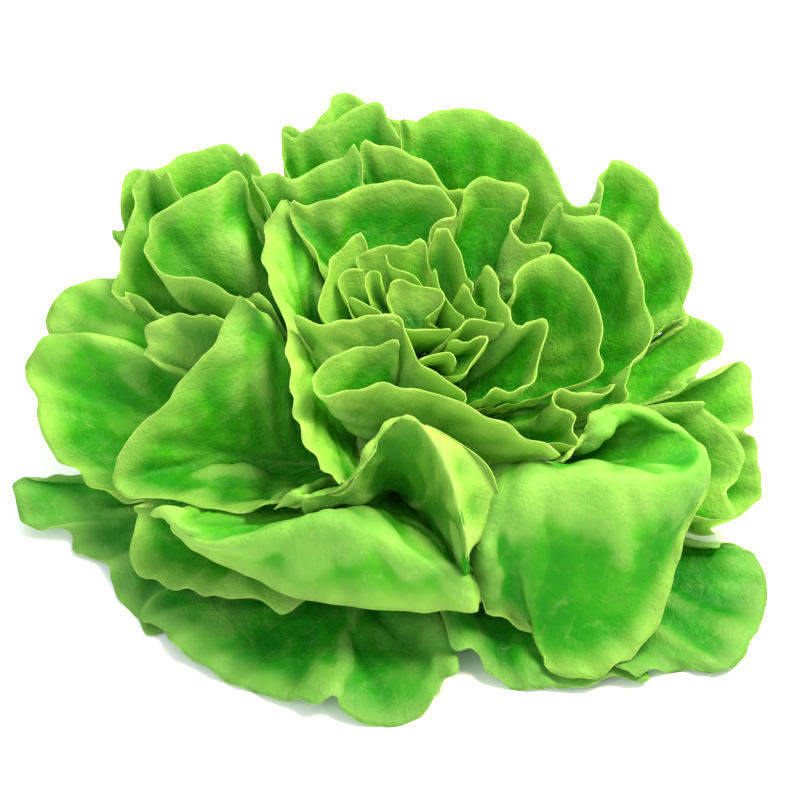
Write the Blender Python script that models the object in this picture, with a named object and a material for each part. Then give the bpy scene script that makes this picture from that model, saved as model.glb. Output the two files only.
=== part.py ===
# Butterhead lettuce, an open head lying on its cut stem.
# Frame: metres, +Z up, the origin on the table under the middle of the stem, the open front towards -Y.
# A leaf is one thin solid: a blade that leaves the stem along a short arc and opens out to a waved rim.
# Rims are read off a picture of the head as (across, down, height) with the height above the table in mm,
# and each point is set on the line of sight that passes through it at that height.
import math

import bmesh
import bpy
import numpy as np
from mathutils import Vector
from mathutils.bvhtree import BVHTree

MM = 0.001

# line of sight of the picture
VIEW_TILT = math.radians(40)     # down from the level
VIEW_DISTANCE = 1000.0           # mm from the eye to the middle of the head
VIEW_FOCAL = 2600.0              # picture points
VIEW_MIDDLE = 400.0              # picture points, across and down
VIEW_TARGET = np.array((2.0, 0.0, 45.0))

# stem: (height, radius) pairs, mm
STEM_PROFILE = ((0.0, 14.5), (1.2, 15.5), (12.0, 16.0), (28.0, 15.0), (44.0, 12.5), (55.0, 9.5), (57.0, 7.0))
STEM_SIDES = 18

# blades, mm
RIM_THICKNESS = 0.95
ROOT_THICKNESS = 2.1
SIDE_SHARE = 0.35                # of the extra thickness, at the two sides of a blade
ROOT_GAP = 0.5                   # between a leaf's root and the stem
TRIM_GAP = 0.45                  # left round a neighbour where a blade is notched for it
ROOT_DISH = 1.5                  # the ends of a root stand this much over its middle
SHOULDER_OUT = 7.0               # from the end of a root to where the rim begins, outwards
SHOULDER_UP = 1.5
SHOULDER_TURN = 1.6              # azimuth of the rim's two ends, in half widths of the root
ROOT_FAN = 1.25                  # the same for the way the blade leaves its root
MIDRIB_POWER = 1.5               # how fast the extra thickness falls off sideways
SPAN_SAMPLES = 12                # of the curve between two picks
RIM_SAMPLES = 241
WAVE_REACH = 11                  # rim samples over which the waves are averaged away
WAVE_POWER = 2.2                 # how fast the waves die out from the rim towards the root
CREST_SHARE = 0.75               # where a crest's ends lie between the root's end and the rim's end
CREST_DRAW = 0.85                # how strongly a blade heads for its rim as it passes its crest
NORMAL_PASSES = 6                # of averaging the directions in which a blade is thick

# stacking of the blades over one another
STEM_FOOT = np.array((0.0, 0.0, 4.0))
TURN_CELLS, REACH_CELLS, REACH_STEP = 100, 44, 4.0
SAMPLES_ACROSS, SAMPLES_ALONG = 4, 7    # per step of a blade's grid
LAYER_STEP = 2.5                 # from the middle of one blade to the next, mm
STACK_PASSES = 90
STACK_SHARE = 0.6                # of the push a blade gets in one pass
STACK_MOST = 0.25                # radians in one pass
LEAST_LEAN = 0.35                # a steeper blade counts as this flat
RIM_HOLD = 0.25                  # how firmly a rim keeps its place, a root being 1
RIM_HOLD_FROM, RIM_HOLD_TO = 0.5, 0.9   # part of the way from root to rim over which the hold fades
ORDER_SWEEPS = 6
ORDER_GAP_MOST = 8.0             # mm, a wider gap between two blades counts as this
ORDER_REACH = 100.0              # mm, where the gap between two blades counts in full
TABLE_GAP = 0.15                 # mm
STEM_CLEAR = 1.0                 # mm more than at the root

# heart, mm: its upright axis, the (height, radius) pairs of its core, and its small leaves' grid and root
HEART_AXIS = np.array((6.0, 7.0, 0.0))
HEART_CORE = ((59.0, 4.0), (60.0, 9.0), (68.0, 12.5), (76.0, 11.0), (83.0, 6.0), (85.0, 2.5))
HEART_SIDES = 12
HEART_GRID = (5, 3)
HEART_ROOT_RADIUS = 7.5
HEART_RISE = (72, 84)
HEART_FAN = 30

GREENS = {
    "low": (0.105, 0.33, 0.045),
    "outer": (0.17, 0.47, 0.03),
    "ring": (0.25, 0.58, 0.04),
    "heart": (0.38, 0.68, 0.08),
    "stem": (0.78, 0.80, 0.55),
}
LEAF_ROUGHNESS, STEM_ROUGHNESS = 0.42, 0.55

# Large leaves, from the outermost and lowest to the innermost.
# root: azimuth (degrees), height on the stem (mm), half width of the root (degrees)
# rise: slope of the blade where it leaves the stem and where it meets its rim (degrees)
# fan: how far the blade spreads sideways at the rim (degrees)
# size: steps of the blade's grid across it and from its root to its rim
# rim: picks on the picture, or rim_mm: places in mm, where the picture doesn't show the leaf
# crest and bend: the line that a rolled or hanging blade passes over, and how far along the blade it lies
# lean: slope of the blade as it passes its crest (degrees), where it doesn't simply head for its rim
# belly: how much more than usual a blade swells outwards before it climbs
LEAVES = {
    "front_low_leaf": dict(
        root=(-112, 7, 18), rise=(2, -4), fan=50, size=(13, 4), green="low",
        rim=((175, 587, 7), (155, 595, 6), (140, 612, 4), (143, 624, 2), (163, 632, 4), (172, 646, 5),
             (205, 668, 3), (250, 691, 1), (290, 700, 4), (318, 703, 8), (335, 696, 9), (342, 712, 5),
             (365, 726, 1), (392, 727, 0), (418, 718, 1), (434, 700, 4), (440, 678, 8), (457, 655, 12))),
    "front_right_low_leaf": dict(
        root=(-62, 8, 16), rise=(3, -3), fan=45, size=(10, 4), green="low",
        rim=((448, 640, 14), (470, 655, 9), (484, 660, 7), (493, 680, 3), (518, 691, 0), (545, 687, 2),
             (575, 688, 3), (610, 676, 6), (640, 660, 4))),
    "right_low_leaf": dict(
        root=(-30, 9, 18), rise=(3, -3), fan=45, size=(11, 4), green="low",
        rim=((610, 655, 10), (650, 674, 3), (685, 672, 0), (720, 673, 3), (742, 659, 3), (749, 640, 5),
             (762, 625, 1), (767, 600, 3), (765, 575, 7), (752, 552, 11), (722, 543, 14), (690, 540, 16))),
    "left_low_leaf": dict(
        root=(197, 9, 19), rise=(4, 0), fan=45, size=(13, 4), green="low",
        rim=((100, 474, 15), (50, 477, 14), (14, 481, 12), (15, 498, 9), (24, 524, 5), (45, 528, 6),
             (71, 531, 5), (76, 553, 1), (98, 557, 3), (110, 568, 4), (111, 581, 2), (119, 600, 0),
             (137, 617, 1), (170, 625, 3))),
    "back_low_leaf": dict(
        root=(80, 10, 19), rise=(4, 4), fan=50, size=(11, 4), green="low",
        rim_mm=((62, 70, 26), (66, 95, 14), (52, 112, 5), (34, 118, 9), (14, 128, 3), (-8, 124, 10),
                (-28, 126, 4), (-48, 114, 9), (-62, 96, 16), (-58, 72, 28))),
    "back_left_low_leaf": dict(
        root=(140, 13, 18), rise=(6, 8), fan=48, size=(10, 4), green="low",
        rim_mm=((-34, 92, 40), (-54, 104, 26), (-76, 102, 14), (-94, 88, 22), (-110, 76, 13),
                (-118, 58, 24), (-112, 38, 34))),
    "back_right_low_leaf": dict(
        root=(38, 13, 18), rise=(6, 8), fan=48, size=(10, 4), green="low",
        rim_mm=((110, 14, 30), (124, 34, 14), (118, 56, 22), (106, 74, 12), (88, 90, 22), (66, 96, 32),
                (48, 88, 42))),
    "back_outer_leaf": dict(
        root=(86, 15, 18), rise=(12, 42), fan=45, size=(11, 4), green="outer",
        rim_mm=((46, 66, 60), (54, 86, 56), (48, 101, 52), (30, 108, 60), (10, 116, 52), (-14, 112, 62),
                (-34, 104, 54), (-46, 86, 60), (-42, 66, 62))),
    "back_left_outer_leaf": dict(
        root=(126, 16, 18), rise=(12, 40), fan=45, size=(11, 4), green="outer",
        rim_mm=((-30, 84, 60), (-50, 97, 58), (-70, 96, 49), (-86, 84, 56), (-98, 68, 46), (-100, 48, 54),
                (-88, 32, 54))),
    "back_right_outer_leaf": dict(
        root=(46, 16, 18), rise=(12, 40), fan=45, size=(11, 4), green="outer",
        rim_mm=((92, 26, 54), (104, 42, 46), (102, 62, 54), (90, 80, 46), (72, 92, 56), (50, 96, 56),
                (36, 86, 60))),
    "left_outer_leaf": dict(
        root=(180, 15, 18), rise=(8, 24), fan=45, size=(11, 5), green="outer",
        rim=((130, 350, 52), (95, 342, 56), (60, 340, 58), (38, 344, 57), (26, 364, 50), (28, 383, 46),
             (36, 398, 42), (38, 420, 36), (50, 450, 27), (78, 474, 22), (110, 495, 19), (140, 502, 20),
             (170, 492, 30))),
    "right_outer_leaf": dict(
        root=(-14, 15, 18), rise=(8, 20), fan=45, size=(11, 5), green="outer",
        rim=((690, 530, 20), (712, 530, 18), (738, 514, 18), (762, 497, 20), (759, 462, 29),
             (754, 436, 36), (744, 431, 40), (753, 418, 40), (754, 392, 45), (744, 363, 52),
             (718, 370, 52), (675, 388, 50))),
    "back_left_leaf": dict(
        root=(133, 22, 18), rise=(22, 66), fan=45, size=(11, 5), green="outer",
        rim=((262, 176, 98), (242, 156, 103), (222, 143, 106), (195, 151, 104), (168, 162, 102),
             (150, 172, 100), (136, 169, 100), (124, 178, 98), (120, 200, 93), (124, 228, 86),
             (128, 250, 78))),
    "left_upper_leaf": dict(
        root=(160, 18, 18), rise=(14, 16), fan=42, size=(10, 4), green="outer",
        rim=((150, 268, 66), (122, 274, 72), (92, 279, 74), (66, 290, 71), (50, 310, 66), (50, 332, 60),
             (64, 344, 55), (96, 352, 48))),
    "right_back_leaf": dict(
        root=(34, 23, 19), rise=(22, 64), fan=45, size=(11, 5), green="outer",
        rim=((664, 330, 60), (683, 306, 68), (693, 282, 74), (686, 244, 82), (662, 212, 88),
             (656, 186, 94), (636, 167, 98), (612, 161, 100), (600, 178, 99), (592, 214, 93))),
    "back_leaf": dict(
        root=(93, 21, 18), rise=(24, 70), fan=40, size=(10, 4), green="outer",
        rim=((450, 140, 96), (420, 122, 100), (392, 118, 104), (362, 100, 108), (345, 93, 110),
             (330, 98, 109), (326, 112, 106), (306, 132, 100), (284, 150, 94))),
    "back_right_leaf": dict(
        root=(64, 26, 20), rise=(26, 74), fan=45, size=(11, 5), green="outer",
        rim=((594, 222, 90), (574, 204, 96), (560, 186, 102), (553, 164, 107), (532, 138, 110),
             (508, 121, 112), (472, 109, 113), (434, 111, 112), (414, 126, 108), (398, 140, 104))),
    "right_small_leaf": dict(
        root=(8, 21, 14), rise=(18, 34), fan=30, size=(10, 4), green="outer",
        rim=((668, 396, 48), (686, 381, 51), (706, 363, 54), (724, 346, 57), (721, 332, 60),
             (700, 318, 63), (681, 313, 64), (670, 330, 60))),
    "left_folded_leaf": dict(
        root=(150, 26, 17), rise=(26, 76), fan=40, size=(10, 4), green="outer",
        rim=((186, 196, 100), (160, 176, 102), (142, 173, 102), (134, 190, 99), (131, 214, 94),
             (126, 242, 88), (117, 270, 82), (114, 290, 77), (126, 296, 75), (142, 300, 73))),
    "right_side_leaf": dict(
        root=(-4, 20, 17), rise=(14, 36), fan=40, size=(10, 4), green="outer",
        rim=((712, 520, 28), (728, 490, 34), (745, 462, 38), (738, 440, 43), (722, 422, 47),
             (704, 408, 50), (682, 402, 52))),
    "front_left_leaf": dict(
        root=(-128, 14, 17), rise=(6, -8), fan=40, size=(10, 4), green="outer",
        rim=((155, 496, 32), (140, 510, 28), (133, 530, 22), (130, 550, 17), (134, 570, 12),
             (160, 584, 10), (205, 594, 11), (255, 600, 14), (300, 606, 18))),
    "left_front_leaf": dict(
        root=(207, 22, 20), rise=(16, 30), fan=45, size=(13, 5), green="outer",
        rim=((250, 306, 86), (232, 312, 84), (214, 342, 78), (194, 368, 70), (178, 386, 64),
             (166, 403, 59), (142, 424, 52), (120, 454, 43), (111, 480, 35), (122, 497, 31),
             (146, 502, 30), (182, 508, 31), (214, 516, 33), (246, 512, 38), (268, 505, 44))),
    "left_small_leaf": dict(
        root=(168, 27, 15), rise=(28, 38), fan=34, size=(10, 4), green="outer",
        rim=((226, 322, 80), (206, 318, 77), (184, 313, 75), (160, 318, 72), (144, 328, 69),
             (150, 346, 62), (162, 362, 57))),
    "front_hanging_leaf": dict(
        root=(-105, 19, 20), rise=(16, -48), fan=55, size=(15, 6), green="outer", bend=0.72,
        crest=((196, 512, 37), (206, 536, 38), (232, 545, 42), (270, 534, 50), (320, 522, 57),
               (352, 525, 57), (380, 537, 53), (404, 552, 49), (432, 558, 46), (462, 560, 44)),
        rim=((163, 510, 34), (170, 524, 32), (182, 542, 32), (210, 557, 33), (248, 576, 32),
             (290, 597, 31), (330, 604, 31), (375, 610, 30), (410, 611, 30), (440, 610, 30),
             (478, 596, 32))),
    "front_right_leaf": dict(
        root=(-42, 21, 22), rise=(18, 0), fan=60, size=(18, 7), green="outer", bend=0.66,
        crest=((476, 545, 48), (492, 524, 54), (514, 500, 60), (545, 481, 65), (585, 477, 66),
               (625, 478, 64), (665, 475, 60), (692, 466, 56), (690, 448, 56), (672, 434, 57),
               (648, 424, 59), (622, 418, 62), (604, 424, 64), (586, 442, 64)),
        rim=((466, 560, 38), (470, 585, 29), (490, 612, 20), (520, 625, 14), (544, 646, 9), (550, 672, 5),
             (578, 684, 3), (606, 680, 4), (638, 657, 8), (662, 616, 16), (676, 570, 26), (686, 535, 35),
             (704, 496, 44), (709, 462, 51), (692, 443, 55), (664, 418, 60), (628, 406, 64),
             (602, 409, 66), (578, 438, 65), (556, 464, 60))),
    "left_cup_leaf": dict(
        root=(148, 31, 20), rise=(32, 84), fan=50, size=(16, 6), green="outer",
        rim=((262, 200, 99), (253, 180, 104), (238, 169, 107), (216, 184, 105), (186, 197, 103),
             (158, 211, 100), (147, 234, 95), (148, 256, 89), (158, 271, 84), (188, 277, 82),
             (216, 286, 83), (244, 299, 84), (268, 301, 86))),
    "back_middle_leaf": dict(
        root=(101, 30, 19), rise=(34, 80), fan=42, size=(11, 5), green="outer",
        rim=((402, 160, 104), (398, 140, 109), (388, 118, 114), (376, 101, 117), (352, 108, 116),
             (334, 124, 112), (310, 128, 110), (296, 139, 107), (283, 153, 103))),
    "right_pale_leaf": dict(
        root=(12, 30, 20), rise=(30, 78), fan=45, size=(15, 6), green="outer",
        rim=((613, 405, 62), (626, 384, 67), (631, 362, 72), (646, 350, 73), (653, 336, 76),
             (647, 306, 82), (639, 270, 89), (630, 240, 94), (612, 221, 98), (588, 218, 100),
             (565, 215, 101), (548, 217, 101))),
    "back_dark_leaf": dict(
        root=(118, 36, 18), rise=(42, 84), fan=36, size=(10, 4), green="outer",
        rim=((360, 160, 106), (342, 157, 107), (318, 166, 105), (294, 180, 103), (272, 175, 104),
             (254, 178, 103), (256, 196, 98))),
    "back_inner_leaf": dict(
        root=(88, 35, 19), rise=(42, 84), fan=38, size=(10, 4), green="ring",
        rim=((462, 208, 94), (446, 188, 99), (428, 165, 105), (405, 151, 108), (380, 147, 108),
             (360, 158, 106))),
    "front_cup_leaf": dict(
        root=(-88, 26, 22), rise=(8, 30), fan=50, size=(17, 8), green="ring", bend=0.74, lean=100, belly=1.8,
        crest=((300, 496, 54), (330, 486, 60), (356, 472, 66), (374, 446, 71), (390, 428, 76),
               (410, 424, 78), (428, 440, 77), (444, 468, 73), (455, 498, 67), (461, 528, 59),
               (465, 556, 50)),
        rim=((278, 505, 48), (292, 506, 50), (312, 494, 56), (344, 485, 61), (364, 468, 67),
             (380, 438, 74), (396, 421, 79), (420, 424, 80), (448, 436, 76), (474, 453, 71),
             (494, 478, 65), (503, 510, 57), (494, 534, 50), (478, 552, 45))),
    "right_curl_leaf": dict(
        root=(-22, 33, 14), rise=(40, 80), fan=36, size=(10, 4), green="ring",
        rim=((566, 448, 62), (575, 432, 65), (576, 415, 68), (560, 408, 71), (556, 396, 73),
             (562, 387, 74), (580, 394, 72), (598, 395, 70), (606, 384, 70))),
    "left_ring_leaf": dict(
        root=(192, 35, 20), rise=(42, 38), fan=48, size=(13, 5), green="ring",
        rim=((292, 212, 94), (268, 220, 93), (263, 248, 90), (268, 284, 86), (284, 316, 84),
             (287, 350, 80), (291, 392, 74), (300, 432, 69), (318, 463, 64), (342, 487, 60))),
    "back_ring_leaf": dict(
        root=(100, 41, 20), rise=(52, 88), fan=40, size=(11, 5), green="ring",
        rim=((432, 233, 92), (456, 212, 97), (450, 195, 101), (424, 184, 103), (395, 181, 104),
             (362, 187, 103), (334, 199, 101), (312, 206, 98), (292, 213, 96))),
    "back_twisted_leaf": dict(
        root=(52, 40, 18), rise=(50, 86), fan=36, size=(11, 5), green="ring",
        rim=((548, 254, 90), (526, 245, 92), (512, 232, 95), (520, 210, 99), (530, 195, 102),
             (508, 182, 103), (484, 177, 104), (468, 190, 101), (459, 206, 97))),
    "right_tulip_leaf": dict(
        root=(2, 36, 19), rise=(44, 86), fan=40, size=(11, 5), green="ring",
        rim=((590, 380, 70), (599, 350, 77), (602, 322, 83), (594, 296, 90), (580, 272, 95),
             (560, 258, 98), (545, 254, 99), (526, 264, 97), (512, 280, 94), (508, 300, 90))),
    "front_ring_leaf": dict(
        root=(-82, 37, 30), rise=(26, 86), fan=48, size=(19, 6), green="ring", belly=1.3,
        rim=((400, 348, 84), (376, 344, 85), (352, 348, 85), (332, 356, 84), (318, 370, 82),
             (311, 382, 80), (318, 393, 80), (336, 395, 81), (358, 388, 83), (384, 385, 84),
             (412, 389, 84), (448, 399, 82), (484, 414, 79), (520, 434, 75), (556, 454, 69))),
    "right_inner_leaf": dict(
        root=(-20, 42, 19), rise=(56, 74), fan=44, size=(11, 5), green="ring",
        rim=((480, 398, 76), (502, 389, 79), (522, 390, 79), (536, 371, 81), (546, 344, 85),
             (550, 326, 88), (543, 316, 90), (531, 323, 90), (520, 328, 89), (510, 314, 91),
             (499, 292, 93), (484, 269, 94))),
    "front_inner_leaf": dict(
        root=(-112, 43, 20), rise=(58, 84), fan=46, size=(11, 5), green="ring",
        rim=((293, 322, 86), (318, 324, 88), (345, 321, 89), (368, 316, 90), (388, 315, 90),
             (401, 320, 89), (407, 333, 88), (410, 347, 86), (420, 361, 83), (441, 379, 80),
             (464, 400, 76))),
}

# Small leaves of the heart, fused round their core; the root is measured round the heart's own axis.
HEART = (
    dict(root=(35, 62, 40),
         rim=((471, 292, 89), (468, 278, 91), (463, 262, 94), (457, 245, 97), (448, 230, 99), (440, 230, 98),
              (432, 238, 96))),
    dict(root=(100, 62, 45),
         rim=((426, 246, 94), (406, 246, 95), (388, 246, 95), (367, 249, 94), (359, 256, 92),
              (357, 266, 89))),
    dict(root=(165, 62, 42),
         rim=((364, 240, 95), (356, 236, 96), (344, 244, 95), (333, 259, 92), (327, 274, 91), (323, 292, 88),
              (322, 320, 83))),
    dict(root=(190, 66, 40),
         rim=((358, 278, 88), (366, 270, 92), (350, 269, 92), (340, 276, 90), (339, 286, 88), (346, 300, 86),
              (356, 320, 82))),
    dict(root=(150, 72, 36),
         rim=((382, 288, 90), (380, 272, 94), (370, 270, 94), (366, 280, 92), (370, 300, 87))),
    dict(root=(80, 72, 42),
         rim=((422, 284, 91), (411, 274, 93), (396, 267, 94), (389, 262, 94), (385, 255, 95))),
    dict(root=(10, 70, 38),
         rim=((464, 322, 85), (458, 313, 87), (451, 303, 89), (443, 291, 91), (436, 280, 93),
              (434, 272, 94))),
    dict(root=(-5, 64, 30),
         rim=((484, 314, 86), (477, 303, 89), (470, 294, 91), (467, 288, 92), (460, 289, 92))),
    dict(root=(-60, 71, 40),
         rim=((424, 320, 86), (432, 311, 88), (441, 303, 90), (441, 293, 91), (428, 287, 92), (411, 282, 93),
              (394, 281, 93), (388, 292, 90))),
    dict(root=(-130, 66, 34),
         rim=((384, 316, 85), (370, 306, 87), (360, 301, 88), (349, 302, 86))),
    dict(root=(-95, 66, 42),
         rim=((386, 322, 87), (404, 328, 87), (423, 330, 87), (437, 330, 87), (452, 332, 86))),
    dict(root=(-35, 63, 38),
         rim=((452, 334, 86), (466, 321, 89), (477, 317, 89), (489, 320, 88), (503, 330, 86))),
    dict(root=(-50, 60, 36),
         rim=((450, 340, 85), (463, 341, 86), (476, 337, 87), (488, 337, 87), (486, 348, 85), (470, 362, 82),
              (458, 376, 79))),
    dict(root=(-78, 60, 30),
         rim=((417, 361, 82), (428, 356, 84), (440, 353, 85), (452, 353, 85), (455, 366, 81))),
)


def clear_scene():
    for item in list(bpy.data.objects):
        bpy.data.objects.remove(item, do_unlink=True)


def sight_point(across, down, height):
    """The point at this height on the line of sight through a picture point, mm."""
    ahead = np.array((0.0, math.cos(VIEW_TILT), -math.sin(VIEW_TILT)))
    up = np.array((0.0, math.sin(VIEW_TILT), math.cos(VIEW_TILT)))
    right = np.array((1.0, 0.0, 0.0))
    eye = VIEW_TARGET - VIEW_DISTANCE * ahead
    ray = ahead * VIEW_FOCAL + right * (across - VIEW_MIDDLE) + up * (VIEW_MIDDLE - down)
    return eye + ray * (height - eye[2]) / ray[2]


def spread(points, count):
    """A smooth curve through the points, as this many evenly spaced ones."""
    points = np.asarray(points, float)
    ends = np.vstack((2 * points[0] - points[1], points, 2 * points[-1] - points[-2]))
    dense = []
    for k in range(len(points) - 1):
        a, b, c, d = ends[k:k + 4]
        for u in np.linspace(0, 1, SPAN_SAMPLES, endpoint=False):
            square = (2 * a - 5 * b + 4 * c - d) * u ** 2
            cube = (3 * b - a - 3 * c + d) * u ** 3
            dense.append(0.5 * (2 * b + (c - a) * u + square + cube))
    dense = np.array(dense + [points[-1]])
    run = np.concatenate(((0.0,), np.cumsum(np.linalg.norm(np.diff(dense, axis=0), axis=1))))
    at = np.linspace(0, run[-1], count)
    return np.column_stack([np.interp(at, run, dense[:, k]) for k in range(3)])


def smoothed(curve, reach):
    """The curve with its waves averaged away, its two ends kept."""
    steps = np.arange(-3 * reach, 3 * reach + 1)
    weight = np.exp(-0.5 * (steps / reach) ** 2)
    weight /= weight.sum()
    before = 2 * curve[0] - curve[3 * reach:0:-1]
    after = 2 * curve[-1] - curve[-2:-3 * reach - 2:-1]
    padded = np.vstack((before, curve, after))
    return np.column_stack([np.convolve(padded[:, k], weight, "valid") for k in range(3)])


def stem_radius(height):
    heights, radii = zip(*STEM_PROFILE)
    return float(np.interp(height, heights, radii))


def heading(degrees):
    angle = np.radians(degrees)
    return np.stack([np.cos(angle), np.sin(angle), np.zeros_like(angle)], axis=-1)


def rising(degrees, slope):
    """Directions at these azimuths that climb at this slope, radians."""
    return heading(degrees) * math.cos(slope) + np.array((0, 0, math.sin(slope)))


def hermite(a, b, slope_a, slope_b, t):
    return ((2 * t ** 3 - 3 * t ** 2 + 1) * a + (t ** 3 - 2 * t ** 2 + t) * slope_a
            + (3 * t ** 2 - 2 * t ** 3) * b + (t ** 3 - t ** 2) * slope_b)


def curves_of(leaf, axis):
    """The rim of a leaf, and its crest if it has one, both running round the head the same way."""
    azimuth = leaf["root"][0]
    rim = leaf["rim_mm"] if "rim_mm" in leaf else [sight_point(*pick) for pick in leaf["rim"]]
    rim = np.array(rim, float)
    crest = np.array([sight_point(*pick) for pick in leaf["crest"]]) if "crest" in leaf else None
    ends = [math.degrees(math.atan2(point[1] - axis[1], point[0] - axis[0])) for point in (rim[0], rim[-1])]
    turns = [(end - azimuth + 180) % 360 - 180 for end in ends]
    if turns[0] > turns[1]:
        rim = rim[::-1]
        crest = crest[::-1] if crest is not None else None
    return rim, crest


def blade(leaf, columns, rows, axis=np.zeros(3), root_radius=None):
    """Middle surface of a leaf: (columns + 1) x (rows + 1) points, column by column from root to rim."""
    azimuth, height, half = leaf["root"]
    rim, crest = curves_of(leaf, axis)
    radius = root_radius or stem_radius(height) + ROOT_GAP + ROOT_THICKNESS * 0.5
    side = np.linspace(-1, 1, columns + 1)
    base = axis + radius * heading(azimuth + half * side)
    base[:, 2] = height + ROOT_DISH * side ** 2
    shoulder_out = SHOULDER_OUT * heading(azimuth + SHOULDER_TURN * half * side[[0, -1]])
    shoulders = base[[0, -1]] + shoulder_out + np.array((0, 0, SHOULDER_UP))
    fine = spread(np.vstack((shoulders[0], rim, shoulders[1])), RIM_SAMPLES)
    at = np.linspace(0, RIM_SAMPLES - 1, columns + 1).round().astype(int)
    edge = fine[at]
    calm = smoothed(fine, WAVE_REACH)[at]
    low, high = (math.radians(angle) for angle in leaf.get("rise", HEART_RISE))
    out = rising(azimuth + ROOT_FAN * half * side, low)
    end = rising(azimuth + leaf.get("fan", HEART_FAN) * side, high)
    belly = leaf.get("belly", 1.0)
    grid = np.empty((columns + 1, rows + 1, 3))
    if crest is None:
        reach = np.linalg.norm(calm - base, axis=1)[:, None]
        for j, t in enumerate(np.linspace(0, 1, rows + 1)):
            wave = (edge - calm) * t ** WAVE_POWER
            grid[:, j] = hermite(base, calm, out * reach * belly, end * reach, t) + wave
        return grid
    bend = leaf["bend"]
    first, last = base[[0, -1]] * (1 - CREST_SHARE) + edge[[0, -1]] * CREST_SHARE
    ridge = spread(np.vstack((first, crest, last)), RIM_SAMPLES)[at]
    over = (edge - base) * CREST_DRAW
    if "lean" in leaf:
        lean = rising(azimuth + leaf["fan"] * side, math.radians(leaf["lean"]))
        over = lean * np.linalg.norm(over, axis=1)[:, None]
    before = np.linalg.norm(ridge - base, axis=1)[:, None]
    after = np.linalg.norm(edge - ridge, axis=1)[:, None]
    for j, t in enumerate(np.linspace(0, 1, rows + 1)):
        if t <= bend:
            grid[:, j] = hermite(base, ridge, out * before * belly, over * bend * belly, t / bend)
        else:
            grid[:, j] = hermite(ridge, edge, over * (1 - bend), end * after, (t - bend) / (1 - bend))
    return grid


def grid_triangles(columns, rows):
    """Triangles of a blade's grid; their normals point to the upper, inner side."""
    faces = []
    for i in range(columns):
        for j in range(rows):
            a, b = i * (rows + 1) + j, (i + 1) * (rows + 1) + j
            if (i + j) % 2:
                faces += [(a, a + 1, b + 1), (a, b + 1, b)]
            else:
                faces += [(a, a + 1, b), (a + 1, b + 1, b)]
    return faces


def averaged(values):
    """Values of a grid, each one mixed with its neighbours."""
    for axis in (0, 1):
        wide = np.pad(values, [(1, 1) if k == axis else (0, 0) for k in range(values.ndim)], "edge")
        before = np.take(wide, range(values.shape[axis]), axis)
        after = np.take(wide, range(2, wide.shape[axis]), axis)
        values = 0.25 * before + 0.5 * values + 0.25 * after
    return values


def grid_normals(grid):
    """Directions across a blade at its grid points, calmed so that neighbours stay nearly parallel."""
    normals = np.cross(np.gradient(grid, axis=1), np.gradient(grid, axis=0))
    normals /= np.maximum(np.linalg.norm(normals, axis=-1, keepdims=True), 1e-9)
    for calming in range(NORMAL_PASSES):
        normals = averaged(normals)
        normals /= np.maximum(np.linalg.norm(normals, axis=-1, keepdims=True), 1e-9)
    return normals


def thickness_at(columns, rows):
    """Blade thickness over the grid: fleshy at the root and along the midrib, thin at the rim."""
    across = 1 - np.abs(np.linspace(-1, 1, columns + 1))[:, None]
    along = 1 - np.linspace(0, 1, rows + 1)[None, :]
    share = along ** 2 * (SIDE_SHARE + (1 - SIDE_SHARE) * across ** MIDRIB_POWER)
    return RIM_THICKNESS + (ROOT_THICKNESS - RIM_THICKNESS) * share


def blade_solid(grid, more=0.0):
    """Points and faces of the closed blade round its middle surface, or of one this much larger all round."""
    columns, rows = grid.shape[0] - 1, grid.shape[1] - 1
    if more:
        grid = grid.copy()
        for ends, inside in ((np.s_[:, -1], np.s_[:, -2]), (np.s_[0], np.s_[1]), (np.s_[-1], np.s_[-2])):
            step = grid[ends] - grid[inside]
            grid[ends] += step * (more / np.maximum(np.linalg.norm(step, axis=-1, keepdims=True), 1e-6))
    middle = grid.reshape(-1, 3)
    faces = grid_triangles(columns, rows)
    half = (0.5 * thickness_at(columns, rows).reshape(-1, 1) + more) * grid_normals(grid).reshape(-1, 3)
    count = len(middle)
    points = np.vstack((middle + half, middle - half))
    solid = list(faces) + [tuple(k + count for k in face[::-1]) for face in faces]
    border = [i * (rows + 1) for i in range(columns)]
    border += [columns * (rows + 1) + j for j in range(rows)]
    border += [i * (rows + 1) + rows for i in range(columns, 0, -1)]
    border += list(range(rows, 0, -1))
    for a, b in zip(border, border[1:] + border[:1]):
        solid += [(a, b, b + count), (a, b + count, a + count)]
    return points, solid


def polar(points):
    """Azimuth, distance and elevation of points seen from the middle of the stem's foot."""
    away = points - STEM_FOOT
    level = np.hypot(away[..., 0], away[..., 1])
    turn = np.arctan2(away[..., 1], away[..., 0])
    return turn, np.linalg.norm(away, axis=-1), np.arctan2(away[..., 2], level)


def refined(grid, across, along):
    """The grid with this many straight steps between its points."""
    for axis, steps in ((0, across), (1, along)):
        count = (grid.shape[axis] - 1) * steps
        at = np.arange(count + 1) / steps
        low = np.minimum(at.astype(int), grid.shape[axis] - 2)
        part = (at - low).reshape((-1, 1, 1) if axis == 0 else (1, -1, 1))
        grid = np.take(grid, low, axis) * (1 - part) + np.take(grid, low + 1, axis) * part
    return grid


def cell_means(cell, values):
    """Mean of the samples' values in each cell, and which cells hold any."""
    count = np.bincount(cell, minlength=TURN_CELLS * REACH_CELLS)
    return np.bincount(cell, values.ravel(), len(count)) / np.maximum(count, 1), count > 0


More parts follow.
